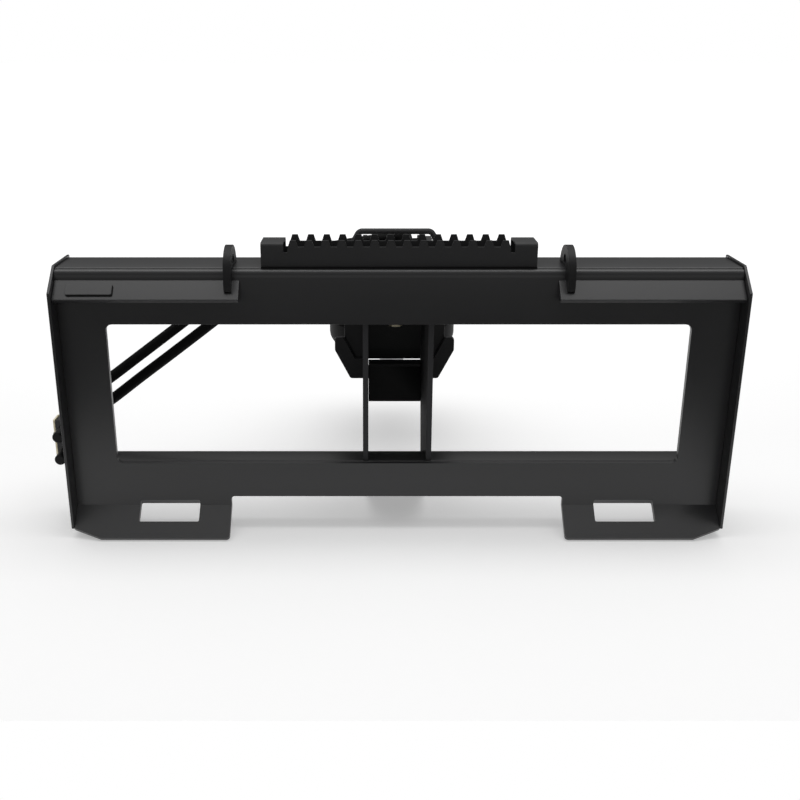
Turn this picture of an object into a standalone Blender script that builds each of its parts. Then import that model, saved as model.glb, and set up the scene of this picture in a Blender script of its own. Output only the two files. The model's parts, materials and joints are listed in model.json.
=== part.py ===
"""Earth auger drive for a skid steer: quick-attach frame, boom, and the hanging planetary drive.

Metres, +Z up. X runs across the frame, -Y faces the machine, +Y faces the auger. Heights count from
the floor, depths from the rear face of the main plate, and the origin is the middle of the foot's sole.
"""
import math

import bmesh
import bpy
from mathutils import Matrix, Vector

# Fits and cuts
SEAT = 0.0003
RUN = 0.0006
OVERRUN = 0.004

# Quick-attach frame
FRAME_WIDTH = 1.143
SIDE_THICK = 0.0048
PLATE_THICK = 0.0095
RAIL_TOP_Z = 0.473
PLATE_TOP_DROP = 0.002
PLATE_CORNER = 0.0092
PLATE_CORNER_HIGH = 0.0135
BEND_Z = 0.0484
EAR_TILT = math.radians(49.2)
EAR_WIDTH = 0.2784
EAR_CHAMFER_X = 0.048
EAR_CHAMFER_RUN = 0.018
EAR_CORNER = 0.006
MIDDLE_EDGE_Z = 0.0648

WINDOW_SIDE = 0.082
WINDOW_LOW_Z = 0.128
WINDOW_HIGH_Z = 0.379
WINDOW_CORNER = 0.011

SLOT_FROM_SIDE = 0.2225
SLOT_WIDTH = 0.1055
SLOT_ABOVE_BEND = 0.0061
SLOT_BELOW_BEND = 0.032

TOP_TUBE = 0.0889
TOP_TUBE_WALL = 0.00635
TOP_TUBE_CORNER = 0.0032
LOW_TUBE = 0.0508
LOW_TUBE_WALL = 0.00635
LOW_TUBE_CORNER = 0.005

# Side plates
SIDE_RISE = 0.004
SIDE_REAR = 0.033
SIDE_SLOPE_Z = 0.439
SIDE_TOP_START_Y = 0.010
SIDE_FOOT_Z = 0.017
SIDE_TAPER_Z = 0.080
SIDE_FRONT_LIP = 0.001

# Upper lips
LIP_ROOT_Z = 0.455
LIP_REACH = 0.0275
LIP_THICK = 0.0095
LIP_LENGTH = 0.3092

# Identity plate, bare
BADGE_LENGTH = 0.076
BADGE_WIDTH = 0.020
BADGE_THICK = 0.0025
BADGE_FROM_SIDE = 0.021
BADGE_DOWN = 0.010

# Step
STEP_HALF = 0.2275
STEP_DEPTH = 0.058
STEP_REAR_Y = 0.0125
STEP_SHEET = 0.003
STEP_SHADOW = 0.0008
STEP_BLOCK_HEIGHT = 0.040
STEP_BLOCK_WIDTH = 0.0375
STEP_CORNER = 0.006
STEP_MOUTH = 0.0065
STEP_RELIEF_HEIGHT = 0.024
TEETH = 14
TOOTH_TOP = 0.0094
TOOTH_BASE = 0.0165
TOOTH_MARGIN = 0.00105
TOOTH_TIP_HEIGHT = 0.0442
TOOTH_DEPTH = 0.0108

# Lifting lugs
LUG_FROM_LIP_END = 0.0117
LUG_THICK = 0.0121
LUG_RADIUS = 0.044
LUG_CENTRE_Y = 0.022
LUG_CENTRE_Z = 0.4644
LUG_NOSE = 0.004
LUG_NOSE_HIGH = 0.013
LUG_HOLE = 0.009
LUG_HOLE_RISE = 0.0115

# Boom
CHEEK_GAP = 0.101
CHEEK_THICK = 0.0095
CHEEK_REAR_Y = 0.013
CHEEK_TOP_Z = 0.436
CHEEK_FRONT_Y = 0.2508
CHEEK_BREAK_Z = 0.247
CHEEK_RAKE = math.radians(18.9)
CHEEK_TOE_Z = 0.063
TOE_FRONT_Y = 0.280
TOE_TIP_Z = 0.024
TOE_REAR_Y = 0.150
CHEEK_UNDER_Z = 0.060

SOLE_THICK = 0.010
SOLE_WIDTH = 0.124
SOLE_DEPTH = 0.124

WEB_TOP_Z = 0.2414
WEB_LOW_Z = 0.167
WEB_THICK = 0.0095
WEB_FLANGE = 0.019
WEB_FLANGE_THICK = 0.006

TIE_Z = 0.350
TIE_THICK = 0.0095
TIE_REAR_Y = 0.120
TIE_FRONT_Y = 0.232
TIE_BOLT_Y = 0.177
TIE_BOLT = 0.016
TIE_BOLT_LENGTH = 0.023
TIE_NUT_FLATS = 0.024
TIE_NUT_HEIGHT = 0.015
TIE_HEAD_HEIGHT = 0.010
TIE_COLLAR = 0.0155
TIE_COLLAR_THICK = 0.003

CRADLE_THICK = 0.0095
CRADLE_HALF = 0.1155
CRADLE_TOP_Z = 0.285
CRADLE_SIDE_Z = 0.259
CRADLE_FOOT_HALF = 0.0855
CRADLE_FOOT_Z = 0.2015
CRADLE_CORNER = 0.006
NOTCH_TOP_HALF = 0.098
NOTCH_SILL_HALF = 0.0755
NOTCH_SILL_Z = 0.2412
NOTCH_LOW_Z = 0.227

FACE_THICK = 0.0095
FACE_HALF = 0.097
FACE_LOW_Z = 0.2386
FACE_TOP_Z = 0.430
FACE_CORNER = 0.012

# Clevis and hinge
PIVOT_Y = 0.490
PIVOT_Z = 0.408
PIN_RADIUS = 0.0159
PIN_HEAD_RADIUS = 0.024
PIN_HEAD_THICK = 0.008
ARM_INNER_X = 0.06815
ARM_THICK = 0.0127
ARM_EYE = 0.030
ARM_ROOT_LOW_Z = 0.345
ARM_ROOT_TOP_Z = 0.420
COLLAR_RADIUS = 0.026
COLLAR_THICK = 0.014
COLLAR_BOLT = 0.004
PIN_STICK_OUT = 0.003

# Hose guard loop
LOOP_BAR = 0.0048
LOOP_TOP_Z = 0.4932
LOOP_TOP_HALF = 0.0619
LOOP_BEND = 0.0102
LOOP_SPLAY = math.radians(29)
LOOP_LEG = 0.028
LOOP_FOOT_HALF = 0.088

# Hoses
HOSE_RADIUS = 0.010
HOSE_STEP = 0.018
HOSE_SMOOTH = 12

# Clamp on the left side plate
CLAMP_Y = 0.078
CLAMP_Z = 0.150
CLAMP_HEIGHT = 0.070
CLAMP_WIDTH = 0.031
CLAMP_PLATE = 0.003
CLAMP_HALF_THICK = 0.0182
CLAMP_PITCH = 0.042
CLAMP_ROUND = 0.003
CLAMP_BOLT = 0.004
CLAMP_HEAD_FLATS = 0.013
CLAMP_HEAD_HEIGHT = 0.0055

# Hose ends at the clamp
CAP_REAR_Y = 0.011
CAP_RADIUS = 0.0097
CAP_WALL = 0.0017
CAP_LENGTH = 0.030
CAP_ROUND = 0.002
NIPPLE_RADIUS = 0.0077
NIPPLE_BORE = 0.005
NIPPLE_LENGTH = 0.026

# Hood
HOOD_TUBE_RADIUS = 0.0254
HOOD_TUBE_HALF = 0.0678
HOOD_INNER_X = 0.0525
HOOD_THICK = 0.0095
HOOD_TOP_HALF = 0.032
HOOD_FOOT_HALF = 0.090
HOOD_SHOULDER_Z = 0.345

# Gearbox
COVER_TOP_Z = 0.2762
COVER_THICK = 0.012
COVER_STEP = 0.004
COVER_BORE = 0.022
HOUSING_TOP_Z = 0.264
HOUSING_RADIUS = 0.134
HOUSING_LOW_Z = 0.212
HOUSING_FLOOR = 0.007
HOUSING_WALL = 0.0097
HUB_RADIUS = 0.062
HUB_LOW_Z = 0.1905
BEARING_OUTER = 0.045
BEARING_INNER = 0.0345
BEARING_HEIGHT = 0.018
SEAL_HEIGHT = 0.005
COVER_BOLTS = 12
COVER_BOLT_IN = 0.011
COVER_BOLT_HEAD = 0.0085
COVER_BOLT_RISE = 0.008
PLUG_FLATS = 0.017
PLUG_RISE = 0.007
PLUG_ANGLE = math.radians(70)
PLUG_IN = 0.021

# Gears
SUN_TEETH = 12
PLANET_TEETH = 18
PLANETS = 3
PRESSURE_ANGLE = math.radians(25)
ADDENDUM = 0.70
DEDENDUM = 1.10
BACKLASH = 0.00035
FLANK_STEPS = 3
GEAR_LOW_Z = 0.2285
GEAR_FACE = 0.022
RING_RIM = 0.01105
PLANET_BORE = 0.0105
SUN_SHAFT = 0.0145
SUN_TOP_Z = 0.304

# Carrier and output shaft
CARRIER_OVER = 0.0145
CARRIER_LOW_Z = 0.2200
CARRIER_THICK = 0.0080
PLANET_PIN = 0.0100
SHAFT_RADIUS = 0.034
HEX_FLATS = 0.0508
HEX_TOP_Z = 0.188
HEX_LOW_Z = 0.084
AUGER_HOLE = 0.008
AUGER_HOLE_Z = 0.112

# Motor
MOTOR_FLANGE_HALF = 0.052
MOTOR_FLANGE_THICK = 0.011
MOTOR_FLANGE_CORNER = 0.018
MOTOR_RADIUS = 0.045
MOTOR_BODY_TOP_Z = 0.331
MOTOR_RING_RADIUS = 0.047
MOTOR_RING_TOP_Z = 0.350
MOTOR_CAP_TOP_Z = 0.366
MOTOR_CAP_ROUND = 0.004
MOTOR_BOLTS = 7
MOTOR_BOLT_CIRCLE = 0.036
MOTOR_BOLT_HEAD = 0.0065
MOTOR_BOLT_RISE = 0.005
MOTOR_BORE = 0.0158
PORT_BLOCK_HALF = 0.041
PORT_BLOCK_REACH = 0.060
PORT_BLOCK_HEIGHT = 0.034

# Port elbows and hose ferrules
PORT_X = 0.026
PORT_Z = 0.311
ELBOW_RADIUS = 0.0085
ELBOW_REACH = 0.0195
ELBOW_BEND = 0.010
ELBOW_RISE = 0.018
ELBOW_HEX_FLATS = 0.025
ELBOW_HEX_THICK = 0.008
FERRULE_RADIUS = 0.0128
FERRULE_LENGTH = 0.028
FERRULE_NUT_FLATS = 0.0245
FERRULE_NUT_LENGTH = 0.011
FERRULE_BORE = 0.006

ROUND = 48
SMALL_ROUND = 24

INNER_HALF = FRAME_WIDTH / 2 - SIDE_THICK
MEMBER_HALF = INNER_HALF - SEAT
WINDOW_HALF = FRAME_WIDTH / 2 - WINDOW_SIDE
EAR_INNER_X = FRAME_WIDTH / 2 - EAR_WIDTH
SLOT_INNER_X = FRAME_WIDTH / 2 - SLOT_FROM_SIDE
LIP_INNER_X = FRAME_WIDTH / 2 - LIP_LENGTH
LUG_INNER_X = LIP_INNER_X + LUG_FROM_LIP_END
STEP_BLOCK_INNER_X = STEP_HALF - STEP_BLOCK_WIDTH
STEP_RELIEF_X = STEP_BLOCK_INNER_X - STEP_MOUTH
TOOTH_PITCH = (2 * STEP_RELIEF_X - TOOTH_BASE - 2 * TOOTH_MARGIN) / (TEETH - 1)
RAIL_REAR_Y = PLATE_THICK + SEAT
RAIL_FRONT_Y = RAIL_REAR_Y + TOP_TUBE
LOW_FRONT_Y = RAIL_REAR_Y + LOW_TUBE
RAIL_LOW_Z = RAIL_TOP_Z - TOP_TUBE
CHEEK_OUTER_X = CHEEK_GAP / 2 + CHEEK_THICK
WEB_HALF = CHEEK_GAP / 2 - SEAT
SOLE_Y = TOE_FRONT_Y - SOLE_DEPTH / 2
CRADLE_Y = CHEEK_FRONT_Y + SEAT
FACE_Y = CRADLE_Y + CRADLE_THICK + SEAT
ARM_ROOT_Y = FACE_Y + FACE_THICK + SEAT
ARM_OUTER_X = ARM_INNER_X + ARM_THICK
LOOP_Y = FACE_Y + FACE_THICK / 2
CLAMP_X = -(FRAME_WIDTH / 2 + SEAT)
CLAMP_SPLIT_X = CLAMP_X - CLAMP_PLATE - SEAT - CLAMP_HALF_THICK - SEAT / 2
COVER_RADIUS = HOUSING_RADIUS - COVER_STEP
COVER_BOLT_CIRCLE = COVER_RADIUS - COVER_BOLT_IN
PLUG_CIRCLE = COVER_BOLT_CIRCLE - PLUG_IN
HOUSING_BORE = HOUSING_RADIUS - HOUSING_WALL
RING_RADIUS = HOUSING_BORE - SEAT
RING_TEETH = SUN_TEETH + 2 * PLANET_TEETH
MODULE = (RING_RADIUS - RING_RIM) / (RING_TEETH / 2 + DEDENDUM)
PLANET_ORBIT = MODULE * (SUN_TEETH + PLANET_TEETH) / 2
CARRIER_RADIUS = PLANET_ORBIT + CARRIER_OVER

BLACK_STEEL = ("black_powder_coat", (0.040, 0.040, 0.042), 0.42, 0.0)
HOUSING_BLACK = ("gearbox_paint", (0.030, 0.030, 0.032), 0.38, 0.0)
ZINC = ("zinc_plate", (0.62, 0.60, 0.55), 0.35, 1.0)
YELLOW_ZINC = ("yellow_zinc", (0.78, 0.70, 0.46), 0.38, 1.0)
HOSE_RUBBER = ("hose_rubber", (0.012, 0.012, 0.013), 0.62, 0.0)
BLACK_PLASTIC = ("black_plastic", (0.015, 0.015, 0.016), 0.45, 0.0)
GREY_PLASTIC = ("grey_plastic", (0.16, 0.16, 0.165), 0.55, 0.0)
BARE_STEEL = ("machined_steel", (0.55, 0.55, 0.56), 0.30, 1.0)
GEAR_STEEL = ("gear_steel", (0.42, 0.42, 0.44), 0.35, 1.0)
CAST_BLACK = ("motor_cast_paint", (0.025, 0.025, 0.027), 0.50, 0.0)
SEAL_RUBBER = ("seal_rubber", (0.020, 0.020, 0.020), 0.70, 0.0)

SIDEWAYS = (math.pi / 2, 0.0, math.pi / 2)
UPRIGHT = (math.pi / 2, 0.0, 0.0)
FLAT = (0.0, 0.0, 0.0)
ALONG_X = (0.0, math.pi / 2, 0.0)
ALONG_Y = (-math.pi / 2, 0.0, 0.0)

for old in list(bpy.data.objects):
    bpy.data.objects.remove(old, do_unlink=True)

PARTS = bpy.data.collections.new("earth_auger_drive")
CUTTERS = bpy.data.collections.new("cutters")
bpy.context.scene.collection.children.link(PARTS)
bpy.context.scene.collection.children.link(CUTTERS)


def material(finish):
    """Returns the named Principled material of a finish, made once."""
    name, colour, roughness, metallic = finish
    made = bpy.data.materials.get(name)
    if made is None:
        made = bpy.data.materials.new(name)
        made.use_nodes = True
        shader = made.node_tree.nodes["Principled BSDF"]
        shader.inputs["Base Color"].default_value = (*colour, 1.0)
        shader.inputs["Roughness"].default_value = roughness
        shader.inputs["Metallic"].default_value = metallic
    return made


def empty(name, place, parent=None):
    """Adds an empty that carries what rides on it."""
    axis = bpy.data.objects.new(name, None)
    axis.location = place
    axis.parent = parent
    PARTS.objects.link(axis)
    return axis


# The row's origin is on the floor under the middle of the stand foot's sole
ORIGIN = empty("row_origin", (0, -SOLE_Y, 0))
SWING_AXIS = empty("swing_axis", (0, PIVOT_Y, PIVOT_Z), ORIGIN)
SPIN_AXIS = empty("spin_axis", (0, 0, CARRIER_LOW_Z - PIVOT_Z), SWING_AXIS)


def place_from_floor(carrier, x, y, z):
    """Turns a place measured from the frame's plate and the floor into one under a carrier."""
    if carrier is SWING_AXIS:
        return (x, y - PIVOT_Y, z - PIVOT_Z)
    if carrier is SPIN_AXIS:
        return (x, y - PIVOT_Y, z - CARRIER_LOW_Z)
    return (x, y, z)


def finish_object(name, mesh, finish, carrier, place, turn=FLAT):
    """Names an object, gives it its material and puts it under its carrier."""
    piece = bpy.data.objects.new(name, mesh)
    piece.location = place_from_floor(carrier, *place)
    piece.rotation_euler = turn
    piece.parent = carrier
    mesh.materials.clear()
    mesh.materials.append(material(finish))
    PARTS.objects.link(piece)
    return piece


def shade(mesh, angle=math.radians(35)):
    """Shades a mesh smooth except at its sharp edges."""
    mesh.shade_smooth()
    mesh.set_sharp_from_angle(angle=angle)


def outline_mesh(outlines, thickness):
    """Returns a flat solid from one outline and the holes in it, middle plane at local zero."""
    data = bpy.data.curves.new("outline", "CURVE")
    data.dimensions = "2D"
    data.fill_mode = "BOTH"
    data.extrude = thickness / 2
    for outline in outlines:
        spline = data.splines.new("POLY")
        spline.points.add(len(outline) - 1)
        for point, (u, v) in zip(spline.points, outline):
            point.co = (u, v, 0.0, 1.0)
        spline.use_cyclic_u = True
    return curve_to_mesh(data)


def curve_to_mesh(data):
    """Makes a curve a welded mesh and removes the curve."""
    guide = bpy.data.objects.new("guide", data)
    bpy.context.scene.collection.objects.link(guide)
    evaluated = guide.evaluated_get(bpy.context.evaluated_depsgraph_get())
    mesh = bpy.data.meshes.new_from_object(evaluated)
    bpy.data.objects.remove(guide, do_unlink=True)
    bpy.data.curves.remove(data)
    return weld(mesh)


def weld(mesh, distance=SEAT / 10):
    """Merges doubled vertices and points the faces outwards."""
    shell = bmesh.new()
    shell.from_mesh(mesh)
    bmesh.ops.remove_doubles(shell, verts=shell.verts, dist=distance)
    bmesh.ops.recalc_face_normals(shell, faces=shell.faces)
    shell.to_mesh(mesh)
    shell.free()
    return mesh


def plate(name, outlines, thickness, finish, place, turn, carrier=None):
    """Adds a plate cut from sheet: an outline, its holes, a thickness and a place."""
    return finish_object(name, outline_mesh(outlines, thickness), finish, carrier or ORIGIN, place, turn)


def pipe_mesh(points, radius, resolution=3):
    """Returns a round bar or hose along a list of points, with filled ends."""
    data = bpy.data.curves.new("pipe", "CURVE")
    data.dimensions = "3D"
    data.bevel_depth = radius
    data.bevel_resolution = resolution
    data.use_fill_caps = True
    spline = data.splines.new("POLY")
    spline.points.add(len(points) - 1)
    for point, place in zip(spline.points, points):
        point.co = (*place, 1.0)
    mesh = curve_to_mesh(data)
    shade(mesh)
    return mesh


def box_mesh(size):
    """Returns a box of a size, centred on its origin."""
    shell = bmesh.new()
    bmesh.ops.create_cube(shell, size=1)
    bmesh.ops.scale(shell, vec=size, verts=shell.verts)
    mesh = bpy.data.meshes.new("box")
    shell.to_mesh(mesh)
    shell.free()
    return mesh


def cylinder_mesh(radius, length, sides=SMALL_ROUND):
    """Returns a cylinder or prism along Z, centred on its origin."""
    shell = bmesh.new()
    bmesh.ops.create_cone(shell, cap_ends=True, segments=sides, radius1=radius, radius2=radius, depth=length)
    mesh = bpy.data.meshes.new("cylinder")
    shell.to_mesh(mesh)
    shell.free()
    shade(mesh)
    return mesh


def hex_mesh(flats, length):
    """Returns a hexagonal prism along Z, given across its flats."""
    return cylinder_mesh(flats / math.sqrt(3), length, 6)


def turned(name, profile, finish, place, carrier, turn=FLAT, sides=ROUND):
    """Adds a turned piece: a closed profile of radius and height, run down the outside, up the bore."""
    closed = profile[-1][0] > 0
    mesh = bpy.data.meshes.new(name)
    count = len(profile)
    edges = [(i, i + 1) for i in range(count - 1)]
    if closed:
        edges.append((count - 1, 0))
    mesh.from_pydata([(radius, 0.0, height) for radius, height in profile], edges, [])
    piece = finish_object(name, mesh, finish, carrier, place, turn)
    screw = piece.modifiers.new("turn", "SCREW")
    screw.steps = sides
    screw.render_steps = sides
    screw.use_merge_vertices = True
    screw.merge_threshold = SEAT / 10
    screw.use_normal_calculate = True
    evaluated = piece.evaluated_get(bpy.context.evaluated_depsgraph_get())
    solid = weld(bpy.data.meshes.new_from_object(evaluated))
    piece.modifiers.clear()
    piece.data = solid
    shade(solid)
    return piece


def cutter(mesh, place, turn=FLAT, carrier=None):
    """Adds a hidden solid that other pieces are cut by."""
    owner = carrier or ORIGIN
    tool = bpy.data.objects.new("cutter", mesh)
    tool.location = place_from_floor(owner, *place)
    tool.rotation_euler = turn
    tool.parent = owner
    tool.hide_render = True
    tool.display_type = "WIRE"
    CUTTERS.objects.link(tool)
    return tool


def boolean(piece, tool, operation="DIFFERENCE"):
    """Cuts a piece with a tool, or joins the tool to it."""
    change = piece.modifiers.new(operation.lower(), "BOOLEAN")
    change.operation = operation
    change.solver = "EXACT"
    change.object = tool
    return piece


def rounded(points, radius, steps=4):
    """Returns an outline with each corner turned into an arc that its sides leave room for."""
    outline = []
    count = len(points)
    for i, point in enumerate(points):
        corner = Vector(point)
        before = Vector(points[i - 1]) - corner
        after = Vector(points[(i + 1) % count]) - corner
        opening = before.angle(after)
        reach = min(radius / math.tan(opening / 2), before.length / 2, after.length / 2)
        arc = reach * math.tan(opening / 2)
        centre = corner + (before.normalized() + after.normalized()).normalized() * (arc / math.sin(opening / 2))
        start = corner + before.normalized() * reach - centre
        end = corner + after.normalized() * reach - centre
        sweep = start.angle_signed(end)
        for k in range(steps + 1):
            turn = Matrix.Rotation(-sweep * k / steps, 2)
            outline.append(tuple(centre + turn @ start))
    return outline


def arc_points(centre, radius, start, end, steps):
    """Returns points along an arc, both ends included."""
    sweep = [start + (end - start) * k / steps for k in range(steps + 1)]
    return [(centre[0] + radius * math.cos(a), centre[1] + radius * math.sin(a)) for a in sweep]


def rectangle(low_u, low_v, high_u, high_v):
    """Returns the four corners of a rectangle."""
    return [(low_u, low_v), (high_u, low_v), (high_u, high_v), (low_u, high_v)]


def circle(centre, radius, sides=SMALL_ROUND):
    """Returns a round hole's outline."""
    return arc_points(centre, radius, 0, math.tau * (sides - 1) / sides, sides - 1)


def smooth_route(places):
    """Returns points a hose step apart on one smooth curve through a few places."""
    knots = [Vector(p) for p in places]
    knots = [knots[0] * 2 - knots[1]] + knots + [knots[-1] * 2 - knots[-2]]
    fine = []
    for a, b, c, d in zip(knots, knots[1:], knots[2:], knots[3:]):
        for k in range(HOSE_SMOOTH):
            t = k / HOSE_SMOOTH
            fine.append((b * 2 + (c - a) * t + (a * 2 - b * 5 + c * 4 - d) * t ** 2
                         + (b * 3 - a - c * 3 + d) * t ** 3) / 2)
    fine.append(knots[-2])
    route = [fine[0]]
    for point in fine[1:-1]:
        if (point - route[-1]).length >= HOSE_STEP:
            route.append(point)
    if (fine[-1] - route[-1]).length < HOSE_STEP / 2:
        route.pop()
    route.append(fine[-1])
    return [tuple(point) for point in route]


# Main plate with its bent ears

def ear_point(down, depth):
    """Returns a point on the bent ear: a run down its rear face and a depth into the sheet."""
    along = (-math.sin(EAR_TILT), -math.cos(EAR_TILT))
    inward = (math.cos(EAR_TILT), -math.sin(EAR_TILT))
    return (along[0] * down + inward[0] * depth, BEND_Z + along[1] * down + inward[1] * depth)


EAR_LENGTH = (BEND_Z - PLATE_THICK * math.sin(EAR_TILT)) / math.cos(EAR_TILT)


def main_plate():
    """The rear plate: window, two bent ears and the coupler's two slots."""
    top = RAIL_TOP_Z - PLATE_TOP_DROP
    profile = [(PLATE_CORNER * (1 - math.cos(a)), top - PLATE_CORNER_HIGH * (1 - math.sin(a)))
               for a in (k * math.pi / 12 for k in range(7))]
    profile += [(PLATE_THICK, top)]
    profile += [(PLATE_THICK, BEND_Z - PLATE_THICK * math.tan(EAR_TILT / 2))]
    profile += [ear_point(EAR_LENGTH, PLATE_THICK), ear_point(EAR_LENGTH, 0), (0, BEND_Z)]
    sheet = plate("main_plate", [profile], MEMBER_HALF * 2, BLACK_STEEL, (0, 0, 0), SIDEWAYS)
    window = rounded(rectangle(-WINDOW_HALF, WINDOW_LOW_Z, WINDOW_HALF, WINDOW_HIGH_Z), WINDOW_CORNER)
    boolean(sheet, cutter(outline_mesh([window], PLATE_THICK + 2 * OVERRUN), (0, PLATE_THICK / 2, 0), UPRIGHT))
    gap = rounded(rectangle(-EAR_INNER_X, MIDDLE_EDGE_Z - BEND_Z * 4, EAR_INNER_X, MIDDLE_EDGE_Z), EAR_CORNER)
    boolean(sheet, cutter(outline_mesh([gap], BEND_Z * 3), (0, 0, 0), UPRIGHT))
    for side in (-1, 1):
        cut_slot(sheet, side)
        cut_ear_corners(sheet, side)


def cut_slot(sheet, side):
    """Cuts the coupler's slot through one ear, square to the ear."""
    length = SLOT_ABOVE_BEND + SLOT_BELOW_BEND
    middle_y, middle_z = ear_point((SLOT_BELOW_BEND - SLOT_ABOVE_BEND) / 2, PLATE_THICK / 2)
    opening = rounded(rectangle(-SLOT_WIDTH / 2, -length / 2, SLOT_WIDTH / 2, length / 2), PLATE_THICK / 4, 2)
    turn = (math.pi / 2 - EAR_TILT, 0.0, 0.0)
    tool = cutter(outline_mesh([opening], PLATE_THICK * 3),
                  (side * (SLOT_INNER_X + SLOT_WIDTH / 2), middle_y, middle_z), turn)
    boolean(sheet, tool)


def cut_ear_corners(sheet, side):
    """Cuts the outer chamfer and rounds the inner corner of one ear."""
    turn = (math.pi / 2 - EAR_TILT, 0.0, 0.0)
    end_y, end_z = ear_point(EAR_LENGTH, PLATE_THICK / 2)
    outer = side * MEMBER_HALF
    wedge = [(outer - side * EAR_CHAMFER_X * 2, -EAR_CHAMFER_RUN), (outer + side * EAR_CHAMFER_X, EAR_CHAMFER_RUN * 2),
             (outer + side * EAR_CHAMFER_X, -EAR_CHAMFER_RUN)]
    boolean(sheet, cutter(outline_mesh([wedge], PLATE_THICK * 3), (0, end_y, end_z), turn))
    inner = side * EAR_INNER_X
    round_off = [(inner - side * EAR_CORNER, -EAR_CORNER)]
    round_off += [(inner + side * EAR_CORNER * (1 - math.cos(a)), EAR_CORNER * (1 - math.sin(a)))
                  for a in (0, math.pi / 8, math.pi / 4, 3 * math.pi / 8, math.pi / 2)]
    round_off += [(inner + side * EAR_CORNER, -EAR_CORNER)]
    round_off.insert(1, (inner - side * EAR_CORNER, EAR_CORNER))
    boolean(sheet, cutter(outline_mesh([round_off], PLATE_THICK * 3), (0, end_y, end_z), turn))


def rails():
    """The square top tube and the lower tube behind the plate, open at their ends."""
    for name, size, wall, corner, low_z in (
            ("top_rail", TOP_TUBE, TOP_TUBE_WALL, TOP_TUBE_CORNER, RAIL_LOW_Z),
            ("lower_rail", LOW_TUBE, LOW_TUBE_WALL, LOW_TUBE_CORNER, WINDOW_LOW_Z - LOW_TUBE)):
        outer = rounded(rectangle(RAIL_REAR_Y, low_z, RAIL_REAR_Y + size, low_z + size), corner)
        inner = rounded(rectangle(RAIL_REAR_Y + wall, low_z + wall,
                                  RAIL_REAR_Y + size - wall, low_z + size - wall), corner / 2, 2)
        plate(name, [outer, inner], MEMBER_HALF * 2, BLACK_STEEL, (0, 0, 0), SIDEWAYS)


def side_plates():
    """The two end plates that close the frame."""
    top_z = RAIL_TOP_Z + SIDE_RISE
    front_y = RAIL_FRONT_Y + SIDE_FRONT_LIP
    outline = [(front_y, top_z), (SIDE_TOP_START_Y, top_z), (-SIDE_REAR, SIDE_SLOPE_Z),
               (-SIDE_REAR, SIDE_FOOT_Z), (LOW_FRONT_Y, SIDE_FOOT_Z), (front_y, SIDE_TAPER_Z)]
    for name, side in (("side_plate_left", -1), ("side_plate_right", 1)):
        plate(name, [outline], SIDE_THICK, BLACK_STEEL, (side * (INNER_HALF + SIDE_THICK / 2), 0, 0), SIDEWAYS)


def lips():
    """The two sloping upper lips that the machine's coupler hooks under."""
    step = LIP_THICK / math.sqrt(2)
    root = -SEAT
    outline = [(root, LIP_ROOT_Z + root), (-LIP_REACH, LIP_ROOT_Z - LIP_REACH),
               (-LIP_REACH + step, LIP_ROOT_Z - LIP_REACH - step), (root, LIP_ROOT_Z - step * 2 + root)]
    for name, side in (("upper_lip_left", -1), ("upper_lip_right", 1)):
        middle = side * (LIP_INNER_X + MEMBER_HALF) / 2
        plate(name, [outline], MEMBER_HALF - LIP_INNER_X, BLACK_STEEL, (middle, 0, 0), SIDEWAYS)


def identity_plate():
    """The bare identity plate on the left lip."""
    face = outline_mesh([rounded(rectangle(-BADGE_LENGTH / 2, -BADGE_WIDTH / 2, BADGE_LENGTH / 2,
                                           BADGE_WIDTH / 2), BADGE_THICK)], BADGE_THICK)
    down = (BADGE_DOWN + BADGE_WIDTH / 2) / math.sqrt(2)
    lift = (BADGE_THICK / 2 + SEAT) / math.sqrt(2)
    place = (-MEMBER_HALF + BADGE_FROM_SIDE + BADGE_LENGTH / 2, -down - lift, LIP_ROOT_Z - down + lift)
    finish_object("identity_plate", face, BLACK_STEEL, ORIGIN, place, (math.pi / 4, 0.0, 0.0))


def tooth_line():
    """Returns the step web's outline in X and height above the rail."""
    relief = STEP_RELIEF_X
    valley = TOOTH_TIP_HEIGHT - TOOTH_DEPTH
    line = [(-STEP_HALF, 0), (STEP_HALF, 0), (STEP_HALF, STEP_BLOCK_HEIGHT),
            (STEP_BLOCK_INNER_X, STEP_BLOCK_HEIGHT), (STEP_BLOCK_INNER_X, STEP_RELIEF_HEIGHT),
            (relief, STEP_RELIEF_HEIGHT)]
    for k in reversed(range(TEETH)):
        centre = (k - (TEETH - 1) / 2) * TOOTH_PITCH
        high = min(centre + TOOTH_BASE / 2, relief)
        low = max(centre - TOOTH_BASE / 2, -relief)
        line += [(high, valley), (centre + TOOTH_TOP / 2, TOOTH_TIP_HEIGHT),
                 (centre - TOOTH_TOP / 2, TOOTH_TIP_HEIGHT), (low, valley)]
    line += [(-relief, STEP_RELIEF_HEIGHT), (-STEP_BLOCK_INNER_X, STEP_RELIEF_HEIGHT),
             (-STEP_BLOCK_INNER_X, STEP_BLOCK_HEIGHT), (-STEP_HALF, STEP_BLOCK_HEIGHT)]
    return line


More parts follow.
